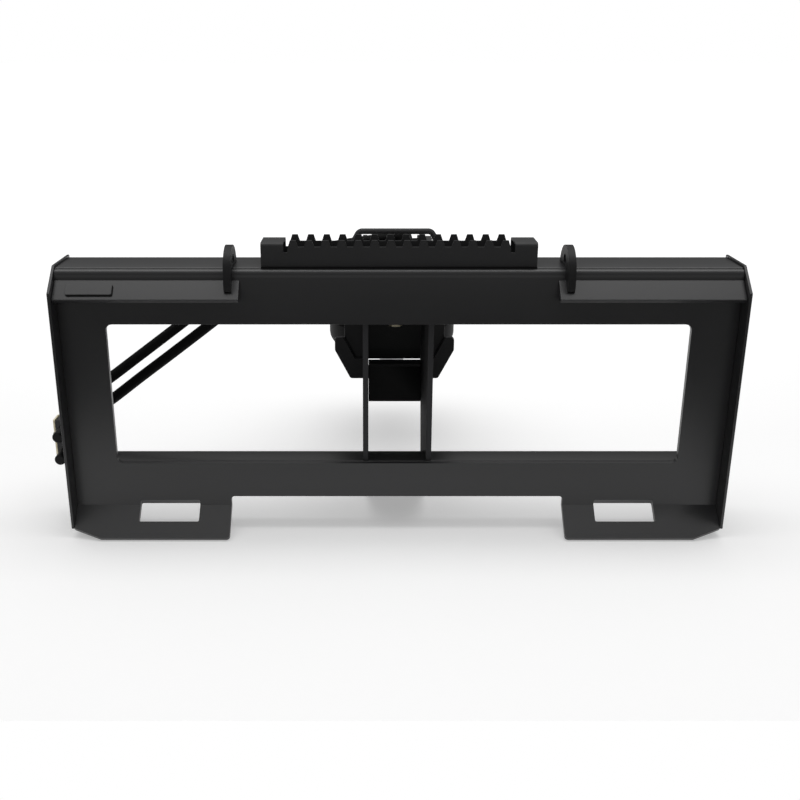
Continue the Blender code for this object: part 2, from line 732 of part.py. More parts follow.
def step():
    """The step plank: two serrated webs joined by a folded block at each end."""
    base_z = RAIL_TOP_Z + SEAT
    rear = STEP_REAR_Y
    front = rear + STEP_DEPTH
    middle_y = rear + STEP_DEPTH / 2
    plank = plate("step_plank", [tooth_line()], STEP_DEPTH, BLACK_STEEL, (0, middle_y, base_z), UPRIGHT)
    end = STEP_HALF + OVERRUN
    under = STEP_BLOCK_HEIGHT - STEP_SHEET
    mouth = (STEP_BLOCK_INNER_X + STEP_RELIEF_X) / 2
    over = TOOTH_TIP_HEIGHT + OVERRUN
    channel = [(-end, -OVERRUN), (end, -OVERRUN), (end, under), (mouth, under), (mouth, over),
               (-mouth, over), (-mouth, under), (-end, under)]
    boolean(plank, cutter(outline_mesh([channel], STEP_DEPTH - STEP_SHEET * 2), (0, middle_y, base_z), UPRIGHT))
    shadow = [(-end, -OVERRUN), (end, -OVERRUN), (end, STEP_SHADOW), (-end, STEP_SHADOW)]
    boolean(plank, cutter(outline_mesh([shadow], STEP_SHEET * 3), (0, rear, base_z), UPRIGHT))
    span = STEP_HALF - mouth
    for side in (-1, 1):
        middle_x = side * (STEP_HALF + mouth + OVERRUN) / 2
        for edge, inward in ((rear, 1), (front, -1)):
            trim = outline_mesh([corner_trim(edge, STEP_BLOCK_HEIGHT, inward)], span + OVERRUN)
            boolean(plank, cutter(trim, (middle_x, 0, base_z), SIDEWAYS))


def corner_trim(edge, high, inward):
    """Returns the outline of what a fold's radius leaves off a square corner."""
    centre = (edge + inward * STEP_CORNER, high - STEP_CORNER)
    start = math.pi if inward > 0 else 0
    arc = arc_points(centre, STEP_CORNER, start, math.pi / 2, 4)
    return arc + [(centre[0], high + OVERRUN), (edge - inward * OVERRUN, high + OVERRUN),
                  (edge - inward * OVERRUN, centre[1])]


def lifting_lugs():
    """The two half-round lugs that straddle the rear top corner."""
    rear_y = LUG_CENTRE_Y - LUG_RADIUS
    rise = RAIL_TOP_Z + SEAT - LUG_CENTRE_Z
    front = math.asin(rise / LUG_RADIUS)
    outline = arc_points((LUG_CENTRE_Y, LUG_CENTRE_Z), LUG_RADIUS, front, math.pi, 14)
    seat = SEAT * 1.5
    lip_z = LIP_ROOT_Z + rear_y + seat
    outline += [(rear_y, lip_z + LUG_NOSE_HIGH), (rear_y + LUG_NOSE / 3, lip_z + LUG_NOSE_HIGH / 2),
                (rear_y + LUG_NOSE, lip_z + LUG_NOSE), (-SEAT, LIP_ROOT_Z + seat), (-SEAT, RAIL_TOP_Z + SEAT)]
    hole = circle((LUG_CENTRE_Y, RAIL_TOP_Z + LUG_HOLE_RISE), LUG_HOLE)
    for name, side in (("lifting_lug_left", -1), ("lifting_lug_right", 1)):
        plate(name, [outline, hole], LUG_THICK, BLACK_STEEL, (side * (LUG_INNER_X + LUG_THICK / 2), 0, 0), SIDEWAYS)


# Boom

def cheek_front(z):
    """Returns where the raked front edge of a cheek lies at a height."""
    return CHEEK_FRONT_Y - (CHEEK_BREAK_Z - z) * math.tan(CHEEK_RAKE)


def cheeks():
    """The boom's two cheeks, from the rails to the face plate and down to the foot."""
    sole_z = SOLE_THICK + SEAT
    tube_z = WINDOW_LOW_Z + SEAT
    outline = [(CHEEK_REAR_Y, tube_z), (CHEEK_REAR_Y, RAIL_LOW_Z - SEAT),
               (RAIL_FRONT_Y + SEAT, RAIL_LOW_Z - SEAT), (RAIL_FRONT_Y + SEAT, CHEEK_TOP_Z),
               (FACE_Y - SEAT, CHEEK_TOP_Z), (FACE_Y - SEAT, NOTCH_LOW_Z + SEAT),
               (CHEEK_FRONT_Y, NOTCH_LOW_Z + SEAT), (CHEEK_FRONT_Y, CRADLE_FOOT_Z),
               (cheek_front(CRADLE_FOOT_Z), CRADLE_FOOT_Z), (cheek_front(CHEEK_TOE_Z), CHEEK_TOE_Z), (TOE_FRONT_Y, TOE_TIP_Z), (TOE_FRONT_Y, sole_z),
               (TOE_REAR_Y, sole_z), (LOW_FRONT_Y + SEAT, CHEEK_UNDER_Z), (LOW_FRONT_Y + SEAT, tube_z)]
    for name, side in (("boom_cheek_left", -1), ("boom_cheek_right", 1)):
        plate(name, [outline], CHEEK_THICK, BLACK_STEEL, (side * (CHEEK_GAP + CHEEK_THICK) / 2, 0, 0), SIDEWAYS)


def stand_foot():
    """The sole under the cheeks' toes, which keeps the frame upright when it is parked."""
    sole = rounded(rectangle(-SOLE_WIDTH / 2, -SOLE_DEPTH / 2, SOLE_WIDTH / 2, SOLE_DEPTH / 2), SOLE_THICK)
    plate("stand_foot", [sole], SOLE_THICK, BLACK_STEEL, (0, SOLE_Y, SOLE_THICK / 2), FLAT)


def boom_web():
    """The raked web between the cheeks, with the flange along its top."""
    rake = math.tan(CHEEK_RAKE)
    front = cheek_front(WEB_TOP_Z)
    deep = WEB_THICK / math.cos(CHEEK_RAKE)
    low = WEB_TOP_Z - WEB_FLANGE_THICK
    outline = [(front, WEB_TOP_Z), (front - deep - WEB_FLANGE, WEB_TOP_Z),
               (front - deep - WEB_FLANGE, low), (front - deep - WEB_FLANGE_THICK * rake, low),
               (cheek_front(WEB_LOW_Z) - deep, WEB_LOW_Z), (cheek_front(WEB_LOW_Z), WEB_LOW_Z)]
    plate("boom_web", [outline], WEB_HALF * 2, BLACK_STEEL, (0, 0, 0), SIDEWAYS)


def tie_plate():
    """The plate across the boom, with the bolt whose nut shows under the top rail."""
    middle_y = (TIE_REAR_Y + TIE_FRONT_Y) / 2
    depth = TIE_FRONT_Y - TIE_REAR_Y
    outline = rectangle(-WEB_HALF, -depth / 2, WEB_HALF, depth / 2)
    bore = circle((0, TIE_BOLT_Y - middle_y), TIE_BOLT / 2 + RUN)
    plate("tie_plate", [outline, bore], TIE_THICK, BLACK_STEEL, (0, middle_y, TIE_Z), FLAT)
    under = TIE_Z - TIE_THICK / 2 - SEAT
    over = TIE_Z + TIE_THICK / 2 + SEAT
    bore = circle((0, 0), TIE_BOLT / 2 + RUN)
    nut = plate("tie_nut", [circle((0, 0), TIE_NUT_FLATS / math.sqrt(3), 6), bore], TIE_NUT_HEIGHT, YELLOW_ZINC,
                (0, TIE_BOLT_Y, under - TIE_NUT_HEIGHT / 2), FLAT)
    collar = outline_mesh([circle((0, 0), TIE_COLLAR), bore], TIE_COLLAR_THICK)
    boolean(nut, cutter(collar, (0, TIE_BOLT_Y, under - TIE_COLLAR_THICK / 2)), "UNION")
    bolt = finish_object("tie_bolt", hex_mesh(TIE_NUT_FLATS, TIE_HEAD_HEIGHT), YELLOW_ZINC, ORIGIN,
                         (0, TIE_BOLT_Y, over + TIE_HEAD_HEIGHT / 2))
    shank = TIE_BOLT_LENGTH + TIE_HEAD_HEIGHT / 2
    boolean(bolt, cutter(cylinder_mesh(TIE_BOLT / 2, shank),
                         (0, TIE_BOLT_Y, over + TIE_HEAD_HEIGHT / 2 - shank / 2)), "UNION")


def cradle_plate():
    """The plate with a notch that the auger lies in, across the front of the cheeks."""
    pass_x = CHEEK_OUTER_X + RUN
    right = [(CRADLE_HALF, CRADLE_TOP_Z), (CRADLE_HALF, CRADLE_SIDE_Z), (CRADLE_FOOT_HALF, CRADLE_FOOT_Z)]
    outline = right + [(-x, z) for x, z in reversed(right)]
    cradle = plate("cradle_plate", [rounded(outline, CRADLE_CORNER, 3)], CRADLE_THICK, BLACK_STEEL,
                   (0, CRADLE_Y + CRADLE_THICK / 2, 0), UPRIGHT)
    over_z = CRADLE_TOP_Z + CRADLE_CORNER
    slope = (NOTCH_TOP_HALF - NOTCH_SILL_HALF) / (CRADLE_TOP_Z - NOTCH_SILL_Z)
    right = [(pass_x, NOTCH_LOW_Z), (pass_x, NOTCH_SILL_Z), (NOTCH_SILL_HALF, NOTCH_SILL_Z),
             (NOTCH_TOP_HALF + slope * CRADLE_CORNER, over_z)]
    notch = outline_mesh([right + [(-x, z) for x, z in reversed(right)]], CRADLE_THICK * 2)
    boolean(cradle, cutter(notch, (0, CRADLE_Y + CRADLE_THICK / 2, 0), UPRIGHT))


def face_plate():
    """The boom's end plate, which carries the clevis arms and the guard loop."""
    outline = rounded(rectangle(-FACE_HALF, FACE_LOW_Z, FACE_HALF, FACE_TOP_Z), FACE_CORNER / 3)
    plate("boom_face_plate", [outline], FACE_THICK, BLACK_STEEL, (0, FACE_Y + FACE_THICK / 2, 0), UPRIGHT)


def clevis_arms():
    """The two arms that hold the hinge pin."""
    eye = (PIVOT_Y, PIVOT_Z)
    outline = [(ARM_ROOT_Y, ARM_ROOT_TOP_Z), (ARM_ROOT_Y, ARM_ROOT_LOW_Z)]
    outline += arc_points(eye, ARM_EYE, -math.radians(100), math.radians(88), 16)
    bore = circle(eye, PIN_RADIUS + SEAT, ROUND)
    for name, side in (("clevis_arm_left", -1), ("clevis_arm_right", 1)):
        plate(name, [outline, bore], ARM_THICK, BLACK_STEEL, (side * (ARM_INNER_X + ARM_THICK / 2), 0, 0), SIDEWAYS)


def hinge_pin():
    """The hinge pin with its head, and the collar and bolt that keep it."""
    head_x = -(ARM_OUTER_X + SEAT + PIN_HEAD_THICK)
    end_x = ARM_OUTER_X + SEAT + COLLAR_THICK + PIN_STICK_OUT
    under_x = head_x + PIN_HEAD_THICK
    profile = [(0, end_x), (PIN_RADIUS, end_x), (PIN_RADIUS, under_x), (PIN_HEAD_RADIUS, under_x),
               (PIN_HEAD_RADIUS, head_x), (0, head_x)]
    pin = turned("hinge_pin", profile, ZINC, (0, PIVOT_Y, PIVOT_Z), ORIGIN, ALONG_X)
    collar_x = ARM_OUTER_X + SEAT + COLLAR_THICK / 2
    ring = [circle((0, 0), COLLAR_RADIUS, ROUND), circle((0, 0), PIN_RADIUS + SEAT, ROUND)]
    collar = plate("pin_collar", ring, COLLAR_THICK, ZINC, (collar_x, PIVOT_Y, PIVOT_Z), SIDEWAYS)
    hole = cylinder_mesh(COLLAR_BOLT + SEAT, COLLAR_RADIUS * 2 + OVERRUN * 2)
    for piece in (pin, collar):
        boolean(piece, cutter(hole, (collar_x, PIVOT_Y, PIVOT_Z)))
    top_z = PIVOT_Z + COLLAR_RADIUS + SEAT
    shank = COLLAR_RADIUS * 2 + COLLAR_BOLT / 2
    bolt = finish_object("collar_bolt", cylinder_mesh(COLLAR_BOLT, shank), ZINC, ORIGIN,
                         (collar_x, PIVOT_Y, PIVOT_Z + COLLAR_BOLT / 4))
    boolean(bolt, cutter(hex_mesh(COLLAR_BOLT * 3, COLLAR_BOLT), (collar_x, PIVOT_Y, top_z + COLLAR_BOLT / 2)),
            "UNION")


def guard_loop():
    """The bent bar that guards the hoses, standing on the face plate."""
    top = LOOP_TOP_Z - LOOP_BAR
    foot = FACE_TOP_Z + SEAT
    half = arc_points((LOOP_TOP_HALF, top - LOOP_BEND), LOOP_BEND, math.pi / 2, LOOP_SPLAY, 5)
    bend_x, bend_z = half[-1]
    half.append((bend_x + LOOP_LEG * math.sin(LOOP_SPLAY), bend_z - LOOP_LEG * math.cos(LOOP_SPLAY)))
    half += [(LOOP_FOOT_HALF, foot + LOOP_BAR), (LOOP_FOOT_HALF, foot)]
    path = [(-x, 0.0, z) for x, z in reversed(half)] + [(x, 0.0, z) for x, z in half]
    finish_object("hose_guard_loop", pipe_mesh(path, LOOP_BAR), BLACK_STEEL, ORIGIN, (0, LOOP_Y, 0))


# Hoses and the clamp on the left side plate

HOSE_UPPER_ROUTE = [
    (-0.5933, 0.0385, 0.171), (-0.5933, 0.066, 0.171), (-0.5933, 0.0945, 0.171), (-0.5930, 0.114, 0.1720),
    (-0.5850, 0.148, 0.184), (-0.5640, 0.178, 0.206), (-0.5314, 0.195, 0.2282), (-0.478, 0.205, 0.267),
    (-0.4257, 0.215, 0.305), (-0.360, 0.227, 0.353), (-0.300, 0.240, 0.397), (-0.252, 0.252, 0.426),
    (-0.195, 0.266, 0.442), (-0.130, 0.282, 0.454), (-0.060, 0.292, 0.464), (-0.010, 0.300, 0.469),
    (0.018, 0.322, 0.468), (0.026, 0.356, 0.458), (0.026, 0.390, 0.436), (0.026, 0.4065, 0.412),
    (0.026, 0.4102, 0.396), (0.026, 0.4102, 0.384), (0.026, 0.4102, 0.3732)]

HOSE_LOWER_ROUTE = [
    (-0.5933, 0.0385, 0.129), (-0.5933, 0.066, 0.129), (-0.5933, 0.0945, 0.129), (-0.5930, 0.114, 0.1300),
    (-0.5860, 0.150, 0.141), (-0.5670, 0.180, 0.162), (-0.5352, 0.195, 0.1826), (-0.482, 0.205, 0.222),
    (-0.4286, 0.215, 0.2605), (-0.360, 0.226, 0.311), (-0.300, 0.236, 0.356), (-0.245, 0.248, 0.394),
    (-0.196, 0.264, 0.417), (-0.145, 0.285, 0.430), (-0.095, 0.304, 0.442), (-0.056, 0.326, 0.448),
    (-0.034, 0.352, 0.448), (-0.026, 0.381, 0.437), (-0.026, 0.4045, 0.414), (-0.026, 0.4102, 0.396),
    (-0.026, 0.4102, 0.384), (-0.026, 0.4102, 0.3732)]


def hoses():
    """The two pressure hoses, from their ends at the clamp to the motor's ports."""
    for name, route in (("hose_upper", HOSE_UPPER_ROUTE), ("hose_lower", HOSE_LOWER_ROUTE)):
        finish_object(name, pipe_mesh(smooth_route(route), HOSE_RADIUS), HOSE_RUBBER, ORIGIN, (0, 0, 0))


def clamp_half_outline(outward):
    """Returns a clamp half's outline in X and Z about the split, with a half bore for each hose."""
    half_z = CLAMP_HEIGHT / 2
    split = SEAT / 2
    back = split + CLAMP_HALF_THICK
    line = [(back, -half_z + CLAMP_ROUND), (back, half_z - CLAMP_ROUND), (back - CLAMP_ROUND, half_z), (split, half_z)]
    for side in (1, -1):
        line += arc_points((split, side * CLAMP_PITCH / 2), HOSE_RADIUS + RUN, math.pi / 2, -math.pi / 2, 12)
    line += [(split, -half_z), (back - CLAMP_ROUND, -half_z)]
    return [(-outward * u, v) for u, v in line]


def hose_clamp():
    """The twin clamp: weld plate, two halves, yellow cover plate and its bolt."""
    face = rounded(rectangle(-CLAMP_WIDTH / 2, -CLAMP_HEIGHT / 2, CLAMP_WIDTH / 2, CLAMP_HEIGHT / 2), CLAMP_ROUND / 2, 2)
    bolt_hole = circle((0, 0), CLAMP_BOLT + SEAT)
    weld_x = CLAMP_X - CLAMP_PLATE / 2
    cover_x = CLAMP_SPLIT_X - SEAT / 2 - CLAMP_HALF_THICK - SEAT - CLAMP_PLATE / 2
    plate("clamp_weld_plate", [face, bolt_hole], CLAMP_PLATE, BLACK_STEEL, (weld_x, CLAMP_Y, CLAMP_Z), SIDEWAYS)
    plate("clamp_cover_plate", [face, bolt_hole], CLAMP_PLATE, YELLOW_ZINC, (cover_x, CLAMP_Y, CLAMP_Z), SIDEWAYS)
    through = cylinder_mesh(CLAMP_BOLT + SEAT, CLAMP_HALF_THICK * 3)
    for name, outward in (("clamp_half_inner", -1), ("clamp_half_outer", 1)):
        half = plate(name, [clamp_half_outline(outward)], CLAMP_WIDTH, GREY_PLASTIC,
                     (CLAMP_SPLIT_X, CLAMP_Y, CLAMP_Z), UPRIGHT)
        boolean(half, cutter(through, (CLAMP_SPLIT_X, CLAMP_Y, CLAMP_Z), ALONG_X))
    head_x = cover_x - CLAMP_PLATE / 2 - SEAT - CLAMP_HEAD_HEIGHT / 2
    bolt = finish_object("clamp_bolt", hex_mesh(CLAMP_HEAD_FLATS, CLAMP_HEAD_HEIGHT), ZINC, ORIGIN,
                         (head_x, CLAMP_Y, CLAMP_Z), ALONG_X)
    reach = weld_x + CLAMP_PLATE / 2 - head_x
    boolean(bolt, cutter(cylinder_mesh(CLAMP_BOLT, reach), (head_x + reach / 2, CLAMP_Y, CLAMP_Z), ALONG_X), "UNION")


def hose_ends():
    """The steel nipple and the black cap on each hose's free end."""
    hose_y = HOSE_UPPER_ROUTE[0][1] - SEAT
    for name, side in (("upper", 1), ("lower", -1)):
        z = CLAMP_Z + side * CLAMP_PITCH / 2
        place = (CLAMP_SPLIT_X, hose_y, z)
        nipple = [(NIPPLE_RADIUS, 0), (NIPPLE_RADIUS, -NIPPLE_LENGTH + CAP_WALL * 2),
                  (NIPPLE_BORE, -NIPPLE_LENGTH + CAP_WALL * 2), (NIPPLE_BORE, 0)]
        turned("hose_nipple_" + name, nipple, ZINC, place, ORIGIN, ALONG_Y, SMALL_ROUND)
        rear = CAP_REAR_Y - hose_y
        front = min(rear + CAP_LENGTH, -SEAT)
        bore = NIPPLE_RADIUS + SEAT
        cap = [(CAP_RADIUS, front), (CAP_RADIUS, rear + CAP_ROUND), (CAP_RADIUS - CAP_ROUND, rear), (0, rear)]
        cap = [(bore, front)] + cap + [(0, rear + CAP_WALL), (bore, rear + CAP_WALL)]
        turned_cup("hose_cap_" + name, cap, BLACK_PLASTIC, place)


def turned_cup(name, profile, finish, place):
    """Adds a cup turned about its axis, its profile starting and ending at the mouth's inner edge."""
    shell = bmesh.new()
    verts = [shell.verts.new((radius, 0.0, height)) for radius, height in profile]
    edges = [shell.edges.new(pair) for pair in zip(verts, verts[1:]) if pair[0].co.x or pair[1].co.x]
    edges.append(shell.edges.new((verts[-1], verts[0])))
    bmesh.ops.spin(shell, geom=verts + edges, axis=(0, 0, 1), cent=(0, 0, 0), angle=math.tau,
                   steps=SMALL_ROUND, use_merge=True)
    mesh = bpy.data.meshes.new(name)
    shell.to_mesh(mesh)
    shell.free()
    weld(mesh)
    shade(mesh)
    finish_object(name, mesh, finish, ORIGIN, place, ALONG_Y)


# Drive: hood, gearbox and motor

def hood():
    """The hood that hangs on the hinge pin: a tube and two cheeks down to the gearbox cover."""
    ring = [circle((0, 0), HOOD_TUBE_RADIUS, ROUND), circle((0, 0), PIN_RADIUS + SEAT, ROUND)]
    plate("hood_tube", ring, HOOD_TUBE_HALF * 2, HOUSING_BLACK, (0, PIVOT_Y, PIVOT_Z), SIDEWAYS, SWING_AXIS)
    low = COVER_TOP_Z + SEAT - PIVOT_Z
    shoulder = HOOD_SHOULDER_Z - PIVOT_Z
    outline = [(-HOOD_FOOT_HALF, low), (HOOD_FOOT_HALF, low), (HOOD_FOOT_HALF, low + HOOD_THICK * 2),
               (HOOD_TOP_HALF, shoulder)]
    outline += arc_points((0, 0), HOOD_TOP_HALF, math.radians(0), math.pi, 16)
    outline += [(-HOOD_TOP_HALF, shoulder), (-HOOD_FOOT_HALF, low + HOOD_THICK * 2)]
    bore = circle((0, 0), HOOD_TUBE_RADIUS + SEAT, ROUND)
    for name, side in (("hood_cheek_left", -1), ("hood_cheek_right", 1)):
        place = (side * (HOOD_INNER_X + HOOD_THICK / 2), PIVOT_Y, PIVOT_Z)
        plate(name, [outline, bore], HOOD_THICK, HOUSING_BLACK, place, SIDEWAYS, SWING_AXIS)


def gearbox_case():
    """The housing with its hub, and the cover with its bolts and oil plug."""
    floor = HOUSING_LOW_Z + HOUSING_FLOOR
    depth = HOUSING_TOP_Z - HOUSING_LOW_Z
    wall = HOUSING_RADIUS - HUB_RADIUS
    shoulder_shares = ((0.0, 0.42), (0.015, 0.30), (0.05, 0.18), (0.11, 0.07), (0.20, 0.0))
    profile = [(HOUSING_RADIUS, HOUSING_TOP_Z)]
    profile += [(HOUSING_RADIUS - wall * inset, HOUSING_LOW_Z + depth * rise) for inset, rise in shoulder_shares]
    profile += [(HUB_RADIUS, HOUSING_LOW_Z), (HUB_RADIUS, HUB_LOW_Z), (BEARING_OUTER, HUB_LOW_Z),
                (BEARING_OUTER, floor), (HOUSING_BORE, floor), (HOUSING_BORE, HOUSING_TOP_Z)]
    turned("gearbox_housing", profile, HOUSING_BLACK, (0, PIVOT_Y, 0), SWING_AXIS)
    low = COVER_TOP_Z - COVER_THICK
    rim = COVER_THICK / 6
    cover = [(COVER_RADIUS - rim, COVER_TOP_Z), (COVER_RADIUS, COVER_TOP_Z - rim), (COVER_RADIUS, low),
             (COVER_BORE, low), (COVER_BORE, COVER_TOP_Z)]
    lid = turned("gearbox_cover", cover, HOUSING_BLACK, (0, PIVOT_Y, 0), SWING_AXIS)
    bolt_ring(lid, COVER_BOLTS, COVER_BOLT_CIRCLE, COVER_BOLT_HEAD, COVER_BOLT_RISE, COVER_TOP_Z)
    plug = (PLUG_CIRCLE * math.cos(PLUG_ANGLE), PIVOT_Y + PLUG_CIRCLE * math.sin(PLUG_ANGLE),
            COVER_TOP_Z + SEAT + PLUG_RISE / 2)
    finish_object("oil_plug", hex_mesh(PLUG_FLATS, PLUG_RISE), YELLOW_ZINC, SWING_AXIS, plug)


def bolt_ring(piece, count, circle_radius, head_radius, rise, seat_z):
    """Adds a ring of hexagon bolt heads to the top of a piece."""
    shell = bmesh.new()
    for k in range(count):
        angle = math.tau * (k + 1 / 2) / count
        place = Matrix.Translation((circle_radius * math.cos(angle), circle_radius * math.sin(angle), 0))
        bmesh.ops.create_cone(shell, cap_ends=True, segments=6, radius1=head_radius, radius2=head_radius,
                              depth=rise * 2, matrix=place)
    mesh = bpy.data.meshes.new("heads")
    shell.to_mesh(mesh)
    shell.free()
    boolean(piece, cutter(mesh, (0, PIVOT_Y, seat_z), FLAT, SWING_AXIS), "UNION")


def seals():
    """The output bearing's ring and the seal under it."""
    bearing_low = HUB_LOW_Z + SEAL_HEIGHT + SEAT
    outer = BEARING_OUTER - SEAT
    inner = BEARING_INNER + SEAT
    for name, low, height, finish in (("output_bearing", bearing_low, BEARING_HEIGHT, BARE_STEEL),
                                      ("shaft_seal", HUB_LOW_Z, SEAL_HEIGHT, SEAL_RUBBER)):
        profile = [(outer, low + height), (outer, low), (inner, low), (inner, low + height)]
        turned(name, profile, finish, (0, PIVOT_Y, 0), SWING_AXIS)


def involute(angle):
    """Returns the involute function of an angle."""
    return math.tan(angle) - angle


def gear_outline(teeth, tip, root, half_extra):
    """Returns an involute gear's outline with a tooth on +U; half_extra widens each flank, in metres."""
    pitch = MODULE * teeth / 2
    base = pitch * math.cos(PRESSURE_ANGLE)
    half_at_pitch = math.pi / (2 * teeth) + half_extra / pitch
    inner = max(root, base)
    radii = [inner + (tip - inner) * k / FLANK_STEPS for k in range(FLANK_STEPS + 1)]
    if root < base:
        radii.insert(0, root)
    flank = []
    for radius in radii:
        slope = math.acos(min(1, base / max(radius, base)))
        flank.append((radius, half_at_pitch + involute(PRESSURE_ANGLE) - involute(slope)))
    outline = []
    for k in range(teeth):
        centre = math.tau * k / teeth
        for radius, half in flank:
            outline.append((radius * math.cos(centre - half), radius * math.sin(centre - half)))
        for radius, half in reversed(flank):
            outline.append((radius * math.cos(centre + half), radius * math.sin(centre + half)))
    return outline


def gears():
    """The ring gear in the housing, the sun on the motor's shaft and the three planets."""
    middle = GEAR_LOW_Z + GEAR_FACE / 2
    ring_pitch = MODULE * RING_TEETH / 2
    teeth = gear_outline(RING_TEETH, ring_pitch + MODULE * DEDENDUM, ring_pitch - MODULE * ADDENDUM, BACKLASH)
    half = math.pi / RING_TEETH
    turned_teeth = [(u * math.cos(half) - v * math.sin(half), u * math.sin(half) + v * math.cos(half)) for u, v in teeth]
    plate("ring_gear", [circle((0, 0), RING_RADIUS, ROUND), turned_teeth], GEAR_FACE, GEAR_STEEL,
          (0, PIVOT_Y, middle), FLAT, SWING_AXIS)
    sun_pitch = MODULE * SUN_TEETH / 2
    outline = gear_outline(SUN_TEETH, sun_pitch + MODULE * ADDENDUM, sun_pitch - MODULE * DEDENDUM, -BACKLASH)
    sun = plate("sun_shaft", [outline], GEAR_FACE, GEAR_STEEL, (0, PIVOT_Y, middle), FLAT, SPIN_AXIS)
    shaft = SUN_TOP_Z - middle
    boolean(sun, cutter(cylinder_mesh(SUN_SHAFT, shaft), (0, PIVOT_Y, middle + shaft / 2), FLAT, SPIN_AXIS), "UNION")
    planet_pitch = MODULE * PLANET_TEETH / 2
    outline = gear_outline(PLANET_TEETH, planet_pitch + MODULE * ADDENDUM, planet_pitch - MODULE * DEDENDUM, -BACKLASH)
    for k in range(PLANETS):
        angle = math.tau * k / PLANETS
        name = "planet_gear_" + str(k + 1)
        place = (PLANET_ORBIT * math.cos(angle), PIVOT_Y + PLANET_ORBIT * math.sin(angle), middle)
        turn = (0.0, 0.0, angle + math.pi + math.pi / PLANET_TEETH)
        plate(name, [outline, circle((0, 0), PLANET_BORE)], GEAR_FACE, GEAR_STEEL, place, turn, SPIN_AXIS)


def carrier():
    """The planet carrier with its pins, and the output shaft with its hexagon end."""
    top = CARRIER_LOW_Z + CARRIER_THICK
    bore = SHAFT_RADIUS + SEAT
    profile = [(CARRIER_RADIUS, top), (CARRIER_RADIUS, CARRIER_LOW_Z), (bore, CARRIER_LOW_Z), (bore, top)]
    disc = turned("planet_carrier", profile, BARE_STEEL, (0, PIVOT_Y, 0), SPIN_AXIS)
    pin_length = GEAR_LOW_Z + GEAR_FACE - CARRIER_LOW_Z - CARRIER_THICK / 2
    pin_z = CARRIER_LOW_Z + CARRIER_THICK / 2 + pin_length / 2
    for k in range(PLANETS):
        angle = math.tau * k / PLANETS
        place = (PLANET_ORBIT * math.cos(angle), PIVOT_Y + PLANET_ORBIT * math.sin(angle), pin_z)
        boolean(disc, cutter(cylinder_mesh(PLANET_PIN, pin_length), place, FLAT, SPIN_AXIS), "UNION")
    profile = [(0, top), (SHAFT_RADIUS, top), (SHAFT_RADIUS, HEX_TOP_Z), (0, HEX_TOP_Z)]
    shaft = turned("output_shaft", profile, BARE_STEEL, (0, PIVOT_Y, 0), SPIN_AXIS)
    hex_high = HEX_TOP_Z + OVERRUN
    hex_bar = hex_mesh(HEX_FLATS, hex_high - HEX_LOW_Z)
    boolean(shaft, cutter(hex_bar, (0, PIVOT_Y, (hex_high + HEX_LOW_Z) / 2), FLAT, SPIN_AXIS), "UNION")
    hole = cylinder_mesh(AUGER_HOLE, HEX_FLATS + OVERRUN * 2)
    boolean(shaft, cutter(hole, (0, PIVOT_Y, AUGER_HOLE_Z), ALONG_Y, SPIN_AXIS))


def motor():
    """The hydraulic motor: flange and body with its port block, gear ring, end cap and bolts."""
    low = COVER_TOP_Z + SEAT
    foot = rounded(rectangle(-MOTOR_FLANGE_HALF + SEAT, -MOTOR_FLANGE_HALF, MOTOR_FLANGE_HALF - SEAT,
                             MOTOR_FLANGE_HALF), MOTOR_FLANGE_CORNER)
    body = plate("motor_body", [foot], MOTOR_FLANGE_THICK, CAST_BLACK,
                 (0, PIVOT_Y, low + MOTOR_FLANGE_THICK / 2), FLAT, SWING_AXIS)
    height = MOTOR_BODY_TOP_Z - low
    boolean(body, cutter(cylinder_mesh(MOTOR_RADIUS, height, ROUND), (0, PIVOT_Y, low + height / 2), FLAT,
                         SWING_AXIS), "UNION")
    block = box_mesh((PORT_BLOCK_HALF * 2, PORT_BLOCK_REACH, PORT_BLOCK_HEIGHT))
    boolean(body, cutter(block, (0, PIVOT_Y - PORT_BLOCK_REACH / 2, PORT_Z), FLAT, SWING_AXIS), "UNION")
    bore = SUN_TOP_Z + OVERRUN - low + OVERRUN
    boolean(body, cutter(cylinder_mesh(MOTOR_BORE, bore), (0, PIVOT_Y, low - OVERRUN + bore / 2), FLAT, SWING_AXIS))
    ring_height = MOTOR_RING_TOP_Z - MOTOR_BODY_TOP_Z - SEAT
    ring = circle((0, 0), MOTOR_RING_RADIUS, ROUND)
    plate("motor_ring", [ring], ring_height, BARE_STEEL,
          (0, PIVOT_Y, MOTOR_RING_TOP_Z - ring_height / 2), FLAT, SWING_AXIS)
    cap_low = MOTOR_RING_TOP_Z + SEAT
    cap = [(0, MOTOR_CAP_TOP_Z), (MOTOR_RADIUS - MOTOR_CAP_ROUND, MOTOR_CAP_TOP_Z),
           (MOTOR_RADIUS, MOTOR_CAP_TOP_Z - MOTOR_CAP_ROUND), (MOTOR_RADIUS, cap_low), (0, cap_low)]
    end_cap = turned("motor_end_cap", cap, CAST_BLACK, (0, PIVOT_Y, 0), SWING_AXIS)
    bolt_ring(end_cap, MOTOR_BOLTS, MOTOR_BOLT_CIRCLE, MOTOR_BOLT_HEAD, MOTOR_BOLT_RISE, MOTOR_CAP_TOP_Z)


